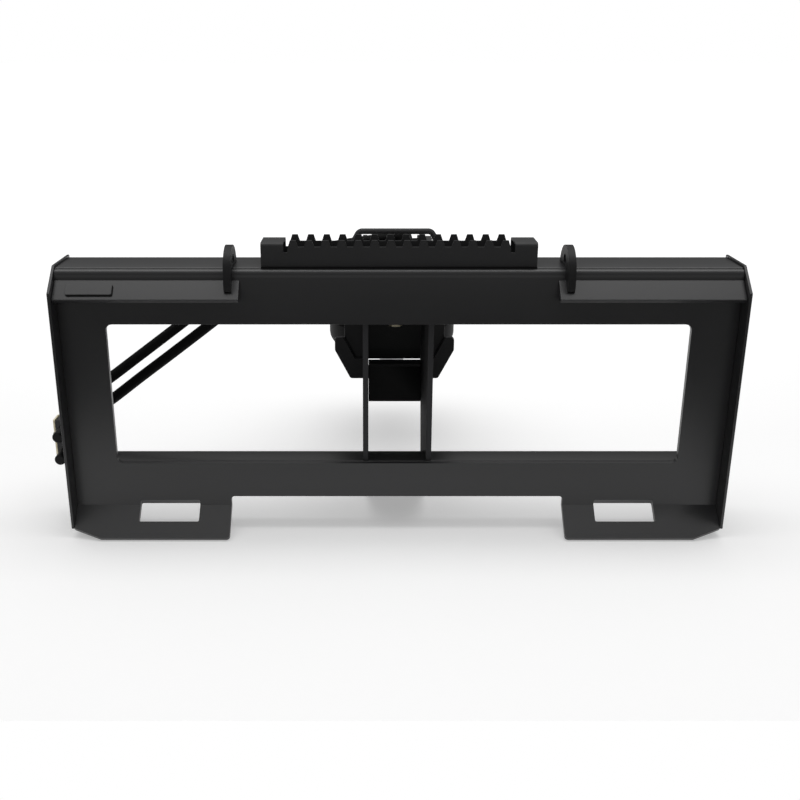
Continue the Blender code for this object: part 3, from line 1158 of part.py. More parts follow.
def port_fittings():
    """The elbow in each motor port and the crimped ferrule that the hose ends in."""
    port_y = PIVOT_Y - PORT_BLOCK_REACH - SEAT
    rise_y = port_y - ELBOW_REACH
    top = PORT_Z + ELBOW_BEND + ELBOW_RISE
    bend = [(0.0, rise_y + ELBOW_BEND * (1 - math.sin(a)), PORT_Z + ELBOW_BEND * (1 - math.cos(a)))
            for a in (math.pi / 2 * k / 5 for k in range(6))]
    path = [(0.0, port_y, PORT_Z)] + bend + [(0.0, rise_y, top)]
    local = [(x, y - PIVOT_Y, z - PIVOT_Z) for x, y, z in path]
    for name, side in (("left", -1), ("right", 1)):
        x = side * PORT_X
        elbow = finish_object("port_elbow_" + name, pipe_mesh(local, ELBOW_RADIUS), ZINC, SWING_AXIS,
                              (x, PIVOT_Y, PIVOT_Z))
        nut = hex_mesh(ELBOW_HEX_FLATS, ELBOW_HEX_THICK)
        boolean(elbow, cutter(nut, (x, port_y - ELBOW_HEX_THICK / 2, PORT_Z), ALONG_Y, SWING_AXIS), "UNION")
        low = top + SEAT
        ferrule = finish_object("hose_ferrule_" + name, hex_mesh(FERRULE_NUT_FLATS, FERRULE_NUT_LENGTH), ZINC,
                                SWING_AXIS, (x, rise_y, low + FERRULE_NUT_LENGTH / 2))
        shell_low = low + FERRULE_NUT_LENGTH / 2
        shell = FERRULE_LENGTH
        boolean(ferrule, cutter(cylinder_mesh(FERRULE_RADIUS, shell), (x, rise_y, shell_low + shell / 2), FLAT,
                                SWING_AXIS), "UNION")


main_plate()
rails()
side_plates()
lips()
identity_plate()
step()
lifting_lugs()
cheeks()
stand_foot()
boom_web()
tie_plate()
cradle_plate()
face_plate()
clevis_arms()
hinge_pin()
guard_loop()
hoses()
hose_clamp()
hose_ends()
hood()
gearbox_case()
seals()
gears()
carrier()
motor()
port_fittings()
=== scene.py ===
"""Dresses the earth auger drive: coated steel frame, boom, hoses and the hanging planetary drive.

Lengths are metres. Places are first written as the part's source does, from the rear face of the
main plate and the floor, and moved to the row's origin, the middle of the stand foot's sole.
"""
from __future__ import annotations

import json
import logging
import math
from dataclasses import dataclass, field
from enum import Enum
from typing import Sequence, Union

import bmesh
import bpy
from mathutils import Matrix, Vector

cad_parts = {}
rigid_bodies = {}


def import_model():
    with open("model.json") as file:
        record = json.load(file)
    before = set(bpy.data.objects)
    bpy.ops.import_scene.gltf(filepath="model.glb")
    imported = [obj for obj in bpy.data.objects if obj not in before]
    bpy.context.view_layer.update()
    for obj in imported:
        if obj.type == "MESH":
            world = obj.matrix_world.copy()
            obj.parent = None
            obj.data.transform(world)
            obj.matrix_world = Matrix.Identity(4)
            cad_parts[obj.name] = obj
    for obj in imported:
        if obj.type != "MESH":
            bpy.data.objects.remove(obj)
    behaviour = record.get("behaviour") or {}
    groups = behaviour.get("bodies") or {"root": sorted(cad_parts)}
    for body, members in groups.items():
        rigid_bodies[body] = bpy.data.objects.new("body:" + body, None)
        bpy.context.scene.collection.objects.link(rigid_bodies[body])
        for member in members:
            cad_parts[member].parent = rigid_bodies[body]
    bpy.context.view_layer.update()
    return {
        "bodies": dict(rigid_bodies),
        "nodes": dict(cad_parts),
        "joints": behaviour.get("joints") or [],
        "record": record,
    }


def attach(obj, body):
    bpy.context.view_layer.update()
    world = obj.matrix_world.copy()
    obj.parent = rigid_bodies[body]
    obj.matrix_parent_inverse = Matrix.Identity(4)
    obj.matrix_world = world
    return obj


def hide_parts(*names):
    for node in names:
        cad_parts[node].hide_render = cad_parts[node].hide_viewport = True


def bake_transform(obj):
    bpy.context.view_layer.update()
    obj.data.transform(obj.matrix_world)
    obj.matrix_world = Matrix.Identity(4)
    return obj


LOG = logging.getLogger("auger_drive")
SOLE_Y = 0.218
MM = 0.001

WELD_DISTANCE = 0.00002
FLAT_ANGLE = math.radians(0.6)
SHARP_ANGLE = math.radians(33)
AXIS_RADIUS = 1e-7

Number = Union[int, float]


class Body(Enum):
    """The bodies that pieces ride on."""

    FRAME = "frame"
    DRIVE = "drive"
    SUN = "sun"
    CARRIER = "carrier"


class Slot(Enum):
    """The record's material slots."""

    COAT = "black_powder_coat"
    PAINT = "gearbox_paint"
    ZINC = "zinc_plate"
    YELLOW = "yellow_zinc"
    HOSE = "hose_rubber"
    CAP = "black_plastic"
    CLAMP = "grey_plastic"
    MACHINED = "machined_steel"
    GEAR = "gear_steel"
    CAST = "motor_cast_paint"
    SEAL = "seal_rubber"


def at(x: float, y: float, z: float) -> Vector:
    """Returns a place in the row's frame from one measured from the plate's rear face and the floor."""
    return Vector((x, y - SOLE_Y, z))


class Tree:
    """A node tree under construction, for a material, the world or a geometry modifier."""

    def __init__(self, tree: bpy.types.NodeTree) -> None:
        """Takes the tree to build in."""
        self.tree = tree

    def node(self, kind: str, settings: dict | None = None, sockets: dict | None = None,
             output: int | str = 0) -> "Wire":
        """Adds a node.

        Args:
            kind: the node's type name.
            settings: its properties, set before its sockets.
            sockets: values or wires by socket name or number.
            output: which output to return.

        Returns:
            The wire of the chosen output.
        """
        made = self.tree.nodes.new(kind)
        for name, value in (settings or {}).items():
            setattr(made, name, value)
        for key, value in (sockets or {}).items():
            if isinstance(value, Wire):
                self.tree.links.new(value.socket, made.inputs[key])
            else:
                made.inputs[key].default_value = value
        return Wire(self, made.outputs[output]) if len(made.outputs) else Wire(self, None)


class Wire:
    """An output socket that takes arithmetic."""

    def __init__(self, owner: Tree, socket: bpy.types.NodeSocket | None) -> None:
        """Takes the tree and the socket that the wire leaves."""
        self.owner = owner
        self.socket = socket

    def sibling(self, output: int | str) -> "Wire":
        """Returns another output of the same node."""
        return Wire(self.owner, self.socket.node.outputs[output])

    def _math(self, operation: str, first: object, second: object = 0.0) -> "Wire":
        """Adds a Math node on two values."""
        kind = "ShaderNodeMath"
        return self.owner.node(kind, {"operation": operation}, {0: first, 1: second})

    def __add__(self, other: object) -> "Wire":
        """Returns self + other."""
        return self._math("ADD", self, other)

    def __radd__(self, other: object) -> "Wire":
        """Returns other + self."""
        return self._math("ADD", other, self)

    def __sub__(self, other: object) -> "Wire":
        """Returns self - other."""
        return self._math("SUBTRACT", self, other)

    def __rsub__(self, other: object) -> "Wire":
        """Returns other - self."""
        return self._math("SUBTRACT", other, self)

    def __mul__(self, other: object) -> "Wire":
        """Returns self * other."""
        return self._math("MULTIPLY", self, other)

    def __rmul__(self, other: object) -> "Wire":
        """Returns other * self."""
        return self._math("MULTIPLY", other, self)

    def sine(self) -> "Wire":
        """Returns the sine of self."""
        return self._math("SINE", self)

    def clamped(self, low: float = 0.0, high: float = 1.0) -> "Wire":
        """Returns self kept between two values."""
        return self._math("MINIMUM", self._math("MAXIMUM", self, low), high)


class Surface(Tree):
    """A material under construction on a Principled shader."""

    def __init__(self, name: str) -> None:
        """Makes the named material."""
        self.material = bpy.data.materials.new(name)
        self.material.use_nodes = True
        super().__init__(self.material.node_tree)
        self.shader = self.tree.nodes["Principled BSDF"]

    def place(self) -> Wire:
        """Returns the Object coordinates."""
        return self.node("ShaderNodeTexCoord", output="Object")

    def noise(self, scale: float, detail: float = 3.0, where: Wire | None = None) -> Wire:
        """Returns fractal noise of so many features to the metre."""
        return self.node("ShaderNodeTexNoise", {}, {"Vector": where or self.place(), "Scale": scale,
                                                    "Detail": detail}, "Fac")

    def blend(self, factor: Wire, first: object, second: object) -> Wire:
        """Returns a colour between two."""
        settings = {"data_type": "RGBA"}
        made = self.node("ShaderNodeMix", settings, {0: factor}, 2)
        node = made.socket.node
        for key, value in ((6, first), (7, second)):
            if isinstance(value, Wire):
                self.tree.links.new(value.socket, node.inputs[key])
            else:
                node.inputs[key].default_value = value
        return made

    def bump(self, height: Wire, distance: float, strength: float = 1.0, under: Wire | None = None) -> Wire:
        """Returns a normal raised by a height."""
        sockets = {"Height": height, "Distance": distance, "Strength": strength}
        if under is not None:
            sockets["Normal"] = under
        return self.node("ShaderNodeBump", {}, sockets, "Normal")

    def finish(self, fixed: dict[str, Number], linked: dict[str, object]) -> bpy.types.Material:
        """Sets the shader's own sockets and links what changes over the surface."""
        for name, value in fixed.items():
            self.shader.inputs[name].default_value = value
        for name, value in linked.items():
            if isinstance(value, Wire):
                self.tree.links.new(value.socket, self.shader.inputs[name])
            else:
                self.shader.inputs[name].default_value = value
        return self.material


def rgba(grey_or_colour: float | Sequence[float]) -> tuple[float, float, float, float]:
    """Returns a colour socket's value from a grey or three channels."""
    if isinstance(grey_or_colour, (int, float)):
        return (grey_or_colour, grey_or_colour, grey_or_colour, 1.0)
    return (*grey_or_colour, 1.0)


@dataclass(frozen=True)
class Coating:
    """Powder coat or sprayed paint on steel, with its orange peel and a trace of handling dust."""

    name: str
    slot: Slot
    colour: tuple[float, float, float]
    variation: float = 0.12
    roughness: float = 0.46
    roughness_swing: float = 0.06
    specular: float = 0.5
    peel_scale: float = 620.0
    peel_depth: float = 0.00010
    cloud_scale: float = 9.0

    def material(self) -> bpy.types.Material:
        """Returns the finish's material."""
        tree = Surface(self.name)
        cloud = tree.noise(self.cloud_scale, 4.0)
        grain = tree.noise(self.peel_scale, 2.0)
        darker = tuple(c * (1 - self.variation) for c in self.colour)
        lighter = tuple(c * (1 + self.variation) for c in self.colour)
        colour = tree.blend(cloud, rgba(darker), rgba(lighter))
        rough = (cloud - 0.5) * self.roughness_swing + (grain - 0.5) * self.roughness_swing + self.roughness
        normal = tree.bump(grain, self.peel_depth, 0.35)
        return tree.finish({"Metallic": 0.0, "Specular IOR Level": self.specular},
                           {"Base Color": colour, "Roughness": rough, "Normal": normal})


@dataclass(frozen=True)
class Plating:
    """Zinc plate, clear or yellow, with the cloudy tint of the bath and fine drawing marks."""

    name: str
    slot: Slot
    colour: tuple[float, float, float]
    tint: tuple[float, float, float]
    roughness: float = 0.34
    metallic: float = 1.0

    def material(self) -> bpy.types.Material:
        """Returns the finish's material."""
        tree = Surface(self.name)
        cloud = tree.noise(55.0, 5.0)
        grain = tree.noise(1400.0, 2.0)
        colour = tree.blend((cloud * 1.6 - 0.3).clamped(), rgba(self.colour), rgba(self.tint))
        rough = grain * 0.10 + cloud * 0.12 + (self.roughness - 0.11)
        normal = tree.bump(grain, 0.00004, 0.4)
        return tree.finish({"Metallic": self.metallic},
                           {"Base Color": colour, "Roughness": rough, "Normal": normal})


@dataclass(frozen=True)
class TurnedSteel:
    """Machined steel with the fine rings that a lathe leaves about a vertical axis."""

    name: str
    slot: Slot
    colour: tuple[float, float, float] = (0.46, 0.46, 0.47)
    roughness: float = 0.30
    ring_scale: float = 900.0
    axis_y: float = 0.272

    def material(self) -> bpy.types.Material:
        """Returns the finish's material."""
        tree = Surface(self.name)
        centred = tree.node("ShaderNodeMapping", {}, {
            "Vector": tree.place(), "Location": (0.0, -self.axis_y, 0.0)})
        rings = tree.node("ShaderNodeTexWave", {"wave_type": "RINGS", "rings_direction": "SPHERICAL"}, {
            "Vector": centred, "Scale": self.ring_scale, "Distortion": 0.6, "Detail": 2.0}, "Fac")
        cloud = tree.noise(40.0, 4.0)
        darker = tuple(c * 0.82 for c in self.colour)
        colour = tree.blend(cloud, rgba(darker), rgba(self.colour))
        rough = rings * 0.10 + cloud * 0.10 + (self.roughness - 0.10)
        normal = tree.bump(rings, 0.00003, 0.35)
        return tree.finish({"Metallic": 1.0}, {"Base Color": colour, "Roughness": rough, "Normal": normal})


@dataclass(frozen=True)
class CastPaint:
    """Paint over sand-cast iron, which keeps the casting's grain."""

    name: str
    slot: Slot
    colour: tuple[float, float, float]
    roughness: float = 0.50

    def material(self) -> bpy.types.Material:
        """Returns the finish's material."""
        tree = Surface(self.name)
        sand = tree.noise(420.0, 4.0)
        lumps = tree.noise(70.0, 3.0)
        darker = tuple(c * 0.80 for c in self.colour)
        colour = tree.blend(lumps, rgba(darker), rgba(self.colour))
        rough = sand * 0.18 + (self.roughness - 0.09)
        normal = tree.bump(sand, 0.00035, 0.5, tree.bump(lumps, 0.0008, 0.3))
        return tree.finish({"Metallic": 0.0}, {"Base Color": colour, "Roughness": rough, "Normal": normal})


@dataclass(frozen=True)
class HoseCover:
    """A hydraulic hose's black cover, wound with a fine wrap that shows along the hose."""

    name: str
    slot: Slot
    colour: float = 0.0015
    specular: float = 0.10
    strands: float = 40.0
    wraps_per_metre: float = 430.0

    def material(self) -> bpy.types.Material:
        """Returns the finish's material."""
        tree = Surface(self.name)
        turn = tree.node("ShaderNodeUVMap", {"uv_map": "UVMap"})
        parts = tree.node("ShaderNodeSeparateXYZ", {}, {0: turn})
        around, along = parts, parts.sibling(1)
        one_way = (along * (self.wraps_per_metre * math.tau) + around * (self.strands * math.tau)).sine()
        other_way = (along * (self.wraps_per_metre * math.tau) - around * (self.strands * math.tau)).sine()
        weave = one_way * other_way * 0.5 + 0.5
        dust = tree.noise(300.0, 3.0)
        colour = tree.blend(dust * 0.5 + weave * 0.5, rgba(self.colour * 0.5), rgba(self.colour * 1.9))
        rough = weave * 0.16 + 0.50
        normal = tree.bump(weave, 0.00030, 0.6)
        return tree.finish({"Specular IOR Level": self.specular},
                           {"Base Color": colour, "Roughness": rough, "Normal": normal})


@dataclass(frozen=True)
class Moulding:
    """Moulded plastic or rubber with a fine matt texture."""

    name: str
    slot: Slot
    colour: tuple[float, float, float]
    roughness: float = 0.55
    specular: float = 0.4
    texture_scale: float = 900.0

    def material(self) -> bpy.types.Material:
        """Returns the finish's material."""
        tree = Surface(self.name)
        texture = tree.noise(self.texture_scale, 2.0)
        flow = tree.noise(30.0, 3.0)
        darker = tuple(c * 0.86 for c in self.colour)
        colour = tree.blend(flow, rgba(darker), rgba(self.colour))
        rough = texture * 0.14 + (self.roughness - 0.07)
        normal = tree.bump(texture, 0.00012, 0.5)
        return tree.finish({"Specular IOR Level": self.specular},
                           {"Base Color": colour, "Roughness": rough, "Normal": normal})


Finish = Union[Coating, Plating, TurnedSteel, CastPaint, HoseCover, Moulding]

COAT = Coating("satin_black_powder_coat", Slot.COAT, (0.0200, 0.0200, 0.0209), roughness=0.32)
# Painted light: the cheeks' coat is the powder coat made over twice as light, so their edges and inner faces
# show brighter; its high roughness and low specular are its finish.
LIGHTENED_CHEEK_COAT = Coating("flat_boom_coat_painted_light", Slot.COAT, (0.044, 0.044, 0.046), roughness=0.75, specular=0.12)
DULL = Coating("dull_black_powder_coat", Slot.COAT, (0.0200, 0.0200, 0.0209), roughness=0.56, specular=0.4)
# Painted shade: the powder coat at half its colour, on the plates between the cheeks and on the lifting lugs;
# its higher roughness and lower specular are its finish.
PAINTED_SHADE_COAT = Coating("powder_coat_painted_shade", Slot.COAT, (0.0100, 0.0100, 0.0105), roughness=0.50, specular=0.25)
BAR = Coating("matt_black_bar_coat", Slot.COAT, (0.034, 0.034, 0.0355), roughness=0.62, specular=0.3)
PAINT = Coating("black_gearbox_paint", Slot.PAINT, (0.0040, 0.0040, 0.0043), roughness=0.52,
                 specular=0.06, peel_scale=380.0)
ZINC = Plating("clear_zinc_plate", Slot.ZINC, (0.52, 0.51, 0.48), (0.42, 0.43, 0.44))
YELLOW = Plating("yellow_zinc_plate", Slot.YELLOW, (0.98, 0.88, 0.60), (0.92, 0.84, 0.64), 0.50, 0.15)
TURNED = TurnedSteel("turned_steel", Slot.MACHINED)
GEAR = TurnedSteel("oiled_gear_steel", Slot.GEAR, (0.36, 0.36, 0.37), 0.28, 500.0)
CAST = CastPaint("black_paint_on_casting", Slot.CAST, (0.014, 0.014, 0.0147))
HOSE = HoseCover("wrapped_hose_cover", Slot.HOSE)
CAP = Moulding("black_cap_plastic", Slot.CAP, (0.0045, 0.0045, 0.005), 0.50, 0.2)
CLAMP = Moulding("grey_clamp_plastic", Slot.CLAMP, (0.045, 0.045, 0.047), 0.60)
SEAL = Moulding("seal_rubber_compound", Slot.SEAL, (0.0055, 0.0055, 0.0055), 0.65, 0.15)


class Workshop:
    """Makes, finishes and hangs pieces on their bodies."""

    def __init__(self, frame: dict) -> None:
        """Takes the loaded frame."""
        self.nodes: dict[str, bpy.types.Object] = frame["nodes"]
        self.materials: dict[str, bpy.types.Material] = {}

    def material(self, finish: Finish) -> bpy.types.Material:
        """Returns a finish's material, made once."""
        if finish.name not in self.materials:
            self.materials[finish.name] = finish.material()
        return self.materials[finish.name]

    def hang(self, piece: bpy.types.Object, finish: Finish, body: Body, *replaced: str) -> bpy.types.Object:
        """Gives a piece its finish and body, and hides the nodes that it stands for."""
        piece.data.materials.clear()
        piece.data.materials.append(self.material(finish))
        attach(piece, body.value)
        if replaced:
            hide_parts(*replaced)
        LOG.info("%s on %s, %d faces", piece.name, body.value, len(piece.data.polygons))
        return piece

    def paint_node(self, node: str, finish: Finish) -> None:
        """Gives a CAD node that stays the finish's material."""
        piece = self.nodes[node]
        piece.data.materials.clear()
        piece.data.materials.append(self.material(finish))
        LOG.info("%s keeps its solid, in %s", node, finish.name)

    def broken_edges(self, node: str, edge: float, finish: Finish, body: Body,
                     segments: int = 2) -> bpy.types.Object:
        """Remakes a node with its sharp edges broken, as blasting and coating leave them.

        Args:
            node: the CAD node.
            edge: the width of the broken edge.
            finish: its finish.
            body: the body that it rides on.
            segments: faces across the broken edge.

        Returns:
            The finished piece.
        """
        mesh = self.nodes[node].data.copy()
        mesh.name = node + "_finished"
        piece = new_piece(node + "_finished", clean(mesh))
        bevel = piece.modifiers.new("broken_edges", "BEVEL")
        bevel.width = edge
        bevel.segments = segments
        bevel.limit_method = "ANGLE"
        bevel.angle_limit = SHARP_ANGLE
        bevel.use_clamp_overlap = True
        bevel.harden_normals = True
        return self.hang(settle(piece), finish, body, node)


def new_piece(name: str, mesh: bpy.types.Mesh) -> bpy.types.Object:
    """Adds an object for a mesh at the origin."""
    piece = bpy.data.objects.new(name, mesh)
    bpy.context.scene.collection.objects.link(piece)
    return piece


def clean(mesh: bpy.types.Mesh) -> bpy.types.Mesh:
    """Welds a CAD node's loose triangles and joins the flat ones into faces."""
    shell = bmesh.new()
    shell.from_mesh(mesh)
    bmesh.ops.remove_doubles(shell, verts=shell.verts, dist=WELD_DISTANCE)
    bmesh.ops.dissolve_limit(shell, angle_limit=FLAT_ANGLE, verts=shell.verts, edges=shell.edges)
    shell.to_mesh(mesh)
    shell.free()
    for name in [layer.name for layer in mesh.uv_layers]:
        mesh.uv_layers.remove(mesh.uv_layers[name])
    mesh.shade_smooth()
    mesh.set_sharp_from_angle(angle=SHARP_ANGLE)
    return mesh


def settle(piece: bpy.types.Object) -> bpy.types.Object:
    """Turns a piece and its modifiers into one plain mesh."""
    bpy.context.view_layer.update()
    evaluated = piece.evaluated_get(bpy.context.evaluated_depsgraph_get())
    mesh = bpy.data.meshes.new_from_object(evaluated)
    mesh.name = piece.name
    piece.modifiers.clear()
    piece.data = mesh
    return piece


def smooth_sharp(mesh: bpy.types.Mesh, angle: float = SHARP_ANGLE) -> bpy.types.Mesh:
    """Shades a mesh smooth but for its sharp edges."""
    mesh.shade_smooth()
    mesh.set_sharp_from_angle(angle=angle)
    return mesh


def lathe(name: str, profile: Sequence[tuple[float, float]], centre: Vector,
          sides: int = 96) -> bpy.types.Mesh:
    """Returns a closed body of revolution about a vertical axis.

    Args:
        name: the mesh's name.
        profile: closed loop of radius and height; points on the axis close the ends.
        centre: the axis's place.
        sides: facets about the axis.

    Returns:
        The mesh, faces outwards.
    """
    shell = bmesh.new()
    rings: list[list[bmesh.types.BMVert]] = []
    for radius, height in profile:
        if radius < AXIS_RADIUS:
            rings.append([shell.verts.new((centre.x, centre.y, centre.z + height))])
            continue
        ring = []
        for k in range(sides):
            angle = math.tau * k / sides
            ring.append(shell.verts.new((centre.x + radius * math.cos(angle),
                                         centre.y + radius * math.sin(angle), centre.z + height)))
        rings.append(ring)
    for first, second in zip(rings, rings[1:] + rings[:1]):
        if len(first) == 1 and len(second) == 1:
            continue
        for k in range(sides):
            j = (k + 1) % sides
            corners = [first[k % len(first)], first[j % len(first)],
                       second[j % len(second)], second[k % len(second)]]
            unique = list(dict.fromkeys(corners))
            if len(unique) > 2:
                shell.faces.new(unique)
    bmesh.ops.recalc_face_normals(shell, faces=shell.faces)
    mesh = bpy.data.meshes.new(name)
    shell.to_mesh(mesh)
    shell.free()
    return smooth_sharp(mesh)


def tube(name: str, points: Sequence[Vector], radius: float, sides: int = 20) -> bpy.types.Mesh:
    """Returns a closed round tube along points, its UV in turns and metres.

    Args:
        name: the mesh's name.
        points: the centre line.
        radius: the tube's radius.
        sides: facets about it.

    Returns:
        The mesh, with the UV map that wrapped covers read.
    """
    shell = bmesh.new()
    layer = shell.loops.layers.uv.new("UVMap")
    tangents = [(b - a).normalized() for a, b in zip(points, points[1:])]
    tangents = [tangents[0]] + [(a + b).normalized() for a, b in zip(tangents, tangents[1:])] + [tangents[-1]]
    side = tangents[0].orthogonal().normalized()
    rings, lengths, run = [], [], 0.0
    for k, (point, tangent) in enumerate(zip(points, tangents)):
        side = (side - tangent * side.dot(tangent)).normalized()
        up = tangent.cross(side)
        run += (point - points[k - 1]).length if k else 0.0
        lengths.append(run)
        turns = [math.tau * j / sides for j in range(sides)]
        rings.append([shell.verts.new(point + (side * math.cos(turn) + up * math.sin(turn)) * radius)
                      for turn in turns])
    for k in range(len(rings) - 1):
        for j in range(sides):
            i = (j + 1) % sides
            face = shell.faces.new((rings[k][j], rings[k][i], rings[k + 1][i], rings[k + 1][j]))
            face.smooth = True
            corners = ((j, k), (j + 1, k), (j + 1, k + 1), (j, k + 1))
            for loop, (around, along) in zip(face.loops, corners):
                loop[layer].uv = (around / sides, lengths[along])
    for ring, flip in ((rings[0], True), (rings[-1], False)):
        shell.faces.new(tuple(reversed(ring)) if flip else tuple(ring))
    bmesh.ops.recalc_face_normals(shell, faces=shell.faces)
    mesh = bpy.data.meshes.new(name)
    shell.to_mesh(mesh)
    shell.free()
    mesh.set_sharp_from_angle(angle=math.radians(50))
    return mesh


def smooth_route(places: Sequence[Vector], step: float, smooth: int = 24) -> list[Vector]:
    """Returns points a step apart on a smooth curve through places."""
    knots = [places[0] * 2 - places[1], *places, places[-1] * 2 - places[-2]]
    fine = []
    for a, b, c, d in zip(knots, knots[1:], knots[2:], knots[3:]):
        for k in range(smooth):
            t = k / smooth
            fine.append((b * 2 + (c - a) * t + (a * 2 - b * 5 + c * 4 - d) * t ** 2
                         + (b * 3 - a - c * 3 + d) * t ** 3) / 2)
    fine.append(knots[-2])
    route = [fine[0]]
    for point in fine[1:-1]:
        if (point - route[-1]).length >= step:
            route.append(point)
    if (fine[-1] - route[-1]).length < step / 2:
        route.pop()
    return route + [fine[-1]]


def polyline(name: str, runs: Sequence[Sequence[Vector]]) -> bpy.types.Mesh:
    """Returns a mesh of edges along several runs of points."""
    mesh = bpy.data.meshes.new(name)
    points, edges = [], []
    for run in runs:
        first = len(points)
        points += [tuple(p) for p in run]
        edges += [(first + k, first + k + 1) for k in range(len(run) - 1)]
    mesh.from_pydata(points, edges, [])
    return mesh


class GeometryRecipe(Tree):
    """A Geometry Nodes tree with named inputs."""

    GROUP = "GeometryNodeTree"

    def __init__(self, name: str, inputs: dict[str, str]) -> None:
        """Makes the tree.

        Args:
            name: the tree's name.
            inputs: socket types by input name, besides the geometry.
        """
        group = bpy.data.node_groups.new(name, self.GROUP)
        group.interface.new_socket("Geometry", in_out="INPUT", socket_type="NodeSocketGeometry")
        group.interface.new_socket("Geometry", in_out="OUTPUT", socket_type="NodeSocketGeometry")
        for label, kind in inputs.items():
            group.interface.new_socket(label, in_out="INPUT", socket_type=kind)
        super().__init__(group)
        self.entry = self.node("NodeGroupInput")

    def given(self, name: str) -> Wire:
        """Returns a named input's wire."""
        return self.entry.sibling(name)

    def lifted(self, geometry: Wire, height: Wire) -> Wire:
        """Returns geometry raised along Z."""
        offset = self.node("ShaderNodeCombineXYZ", {}, {"Z": height})
        return self.node("GeometryNodeTransform", {}, {"Geometry": geometry, "Translation": offset})

    def close(self, geometry: Wire) -> bpy.types.NodeTree:
        """Realizes, gives the finish and ends the tree."""
        real = self.node("GeometryNodeRealizeInstances", {}, {0: geometry})
        dressed = self.node("GeometryNodeSetMaterial", {}, {
            "Geometry": real, "Material": self.given("Finish")})
        self.node("NodeGroupOutput", {}, {0: dressed})
        return self.tree

    @staticmethod
    def run(name: str, base: bpy.types.Mesh, group: bpy.types.NodeTree,
            values: dict[str, object]) -> bpy.types.Object:
        """Runs a tree on a mesh and returns the plain result.

        Args:
            name: the piece's name.
            base: the mesh that the tree starts from.
            group: the tree.
            values: the inputs by name.

        Returns:
            The object with the finished mesh.
        """
        piece = new_piece(name, base)
        modifier = piece.modifiers.new("nodes", "NODES")
        modifier.node_group = group
        for item in group.interface.items_tree:
            if item.in_out == "INPUT" and item.name in values:
                modifier[item.identifier] = values[item.name]
        return settle(piece)


def weld_recipe() -> bpy.types.NodeTree:
    """Returns the tree that lays a rippled weld bead along each run of edges."""
    recipe = GeometryRecipe("weld_bead", {"Bead": "NodeSocketFloat", "Ripple": "NodeSocketFloat",
                                          "Finish": "NodeSocketMaterial"})
    curve = recipe.node("GeometryNodeMeshToCurve", {}, {"Mesh": recipe.given("Geometry")})
    fine = recipe.node("GeometryNodeResampleCurve", {"mode": "LENGTH"},
                       {"Curve": curve, "Length": recipe.given("Ripple") * (1 / 6)})
    run = recipe.node("GeometryNodeSplineParameter", output="Length")
    place = recipe.node("GeometryNodeInputPosition")
    noise = recipe.node("ShaderNodeTexNoise", {"noise_dimensions": "3D"},
                        {"Vector": place, "Scale": 60.0, "Detail": 2.0}, "Fac")
    phase = run * math.tau
    cycles = recipe.node("ShaderNodeMath", {"operation": "DIVIDE"}, {0: phase, 1: recipe.given("Ripple")})
    radius = recipe.given("Bead") * (cycles.sine() * 0.10 + noise * 0.30 + 0.85)
    sized = recipe.node("GeometryNodeSetCurveRadius", {}, {"Curve": fine, "Radius": radius})
    section = recipe.node("GeometryNodeCurvePrimitiveCircle", {"mode": "RADIUS"},
                          {"Resolution": 10, "Radius": 1.0})
    bead = recipe.node("GeometryNodeCurveToMesh", {},
                       {"Curve": sized, "Profile Curve": section, "Scale": radius, "Fill Caps": True})
    smooth = recipe.node("GeometryNodeSetShadeSmooth", {}, {"Geometry": bead, "Shade Smooth": True})
    return recipe.close(smooth)


def bolt_circle_recipe() -> bpy.types.NodeTree:
    """Returns the tree that sets hexagon bolts with washers on a circle."""
    recipe = GeometryRecipe("bolt_circle", {
        "Bolts": "NodeSocketInt", "Circle": "NodeSocketFloat", "Head": "NodeSocketFloat",
        "Rise": "NodeSocketFloat", "Centre": "NodeSocketVector", "Finish": "NodeSocketMaterial"})
    head, rise = recipe.given("Head"), recipe.given("Rise")
    points = recipe.node("GeometryNodeMeshCircle", {"fill_type": "NONE"},
                         {"Vertices": recipe.given("Bolts"), "Radius": recipe.given("Circle")})
    washer = recipe.lifted(recipe.node("GeometryNodeMeshCylinder", {}, {
        "Vertices": 28, "Radius": head * 1.12, "Depth": rise * 0.22}), rise * 0.11)
    block = recipe.lifted(recipe.node("GeometryNodeMeshCylinder", {}, {
        "Vertices": 6, "Radius": head, "Depth": rise * 0.62}), rise * 0.53)
    chamfer = recipe.lifted(recipe.node("GeometryNodeMeshCone", {}, {
        "Vertices": 6, "Radius Top": head * 0.84, "Radius Bottom": head, "Depth": rise * 0.16}), rise * 0.84)
    bolt = recipe.node("GeometryNodeJoinGeometry", {}, {})
    for piece in (washer, block, chamfer):
        recipe.tree.links.new(piece.socket, bolt.socket.node.inputs[0])
    index = recipe.node("GeometryNodeInputIndex")
    spin = recipe.node("ShaderNodeCombineXYZ", {}, {"Z": index * (math.pi * 0.31)})
    ring = recipe.node("GeometryNodeInstanceOnPoints", {}, {
        "Points": points, "Instance": bolt, "Rotation": spin})
    seated = recipe.node("GeometryNodeTransform", {}, {
        "Geometry": ring, "Translation": recipe.given("Centre")})
    return recipe.close(seated)


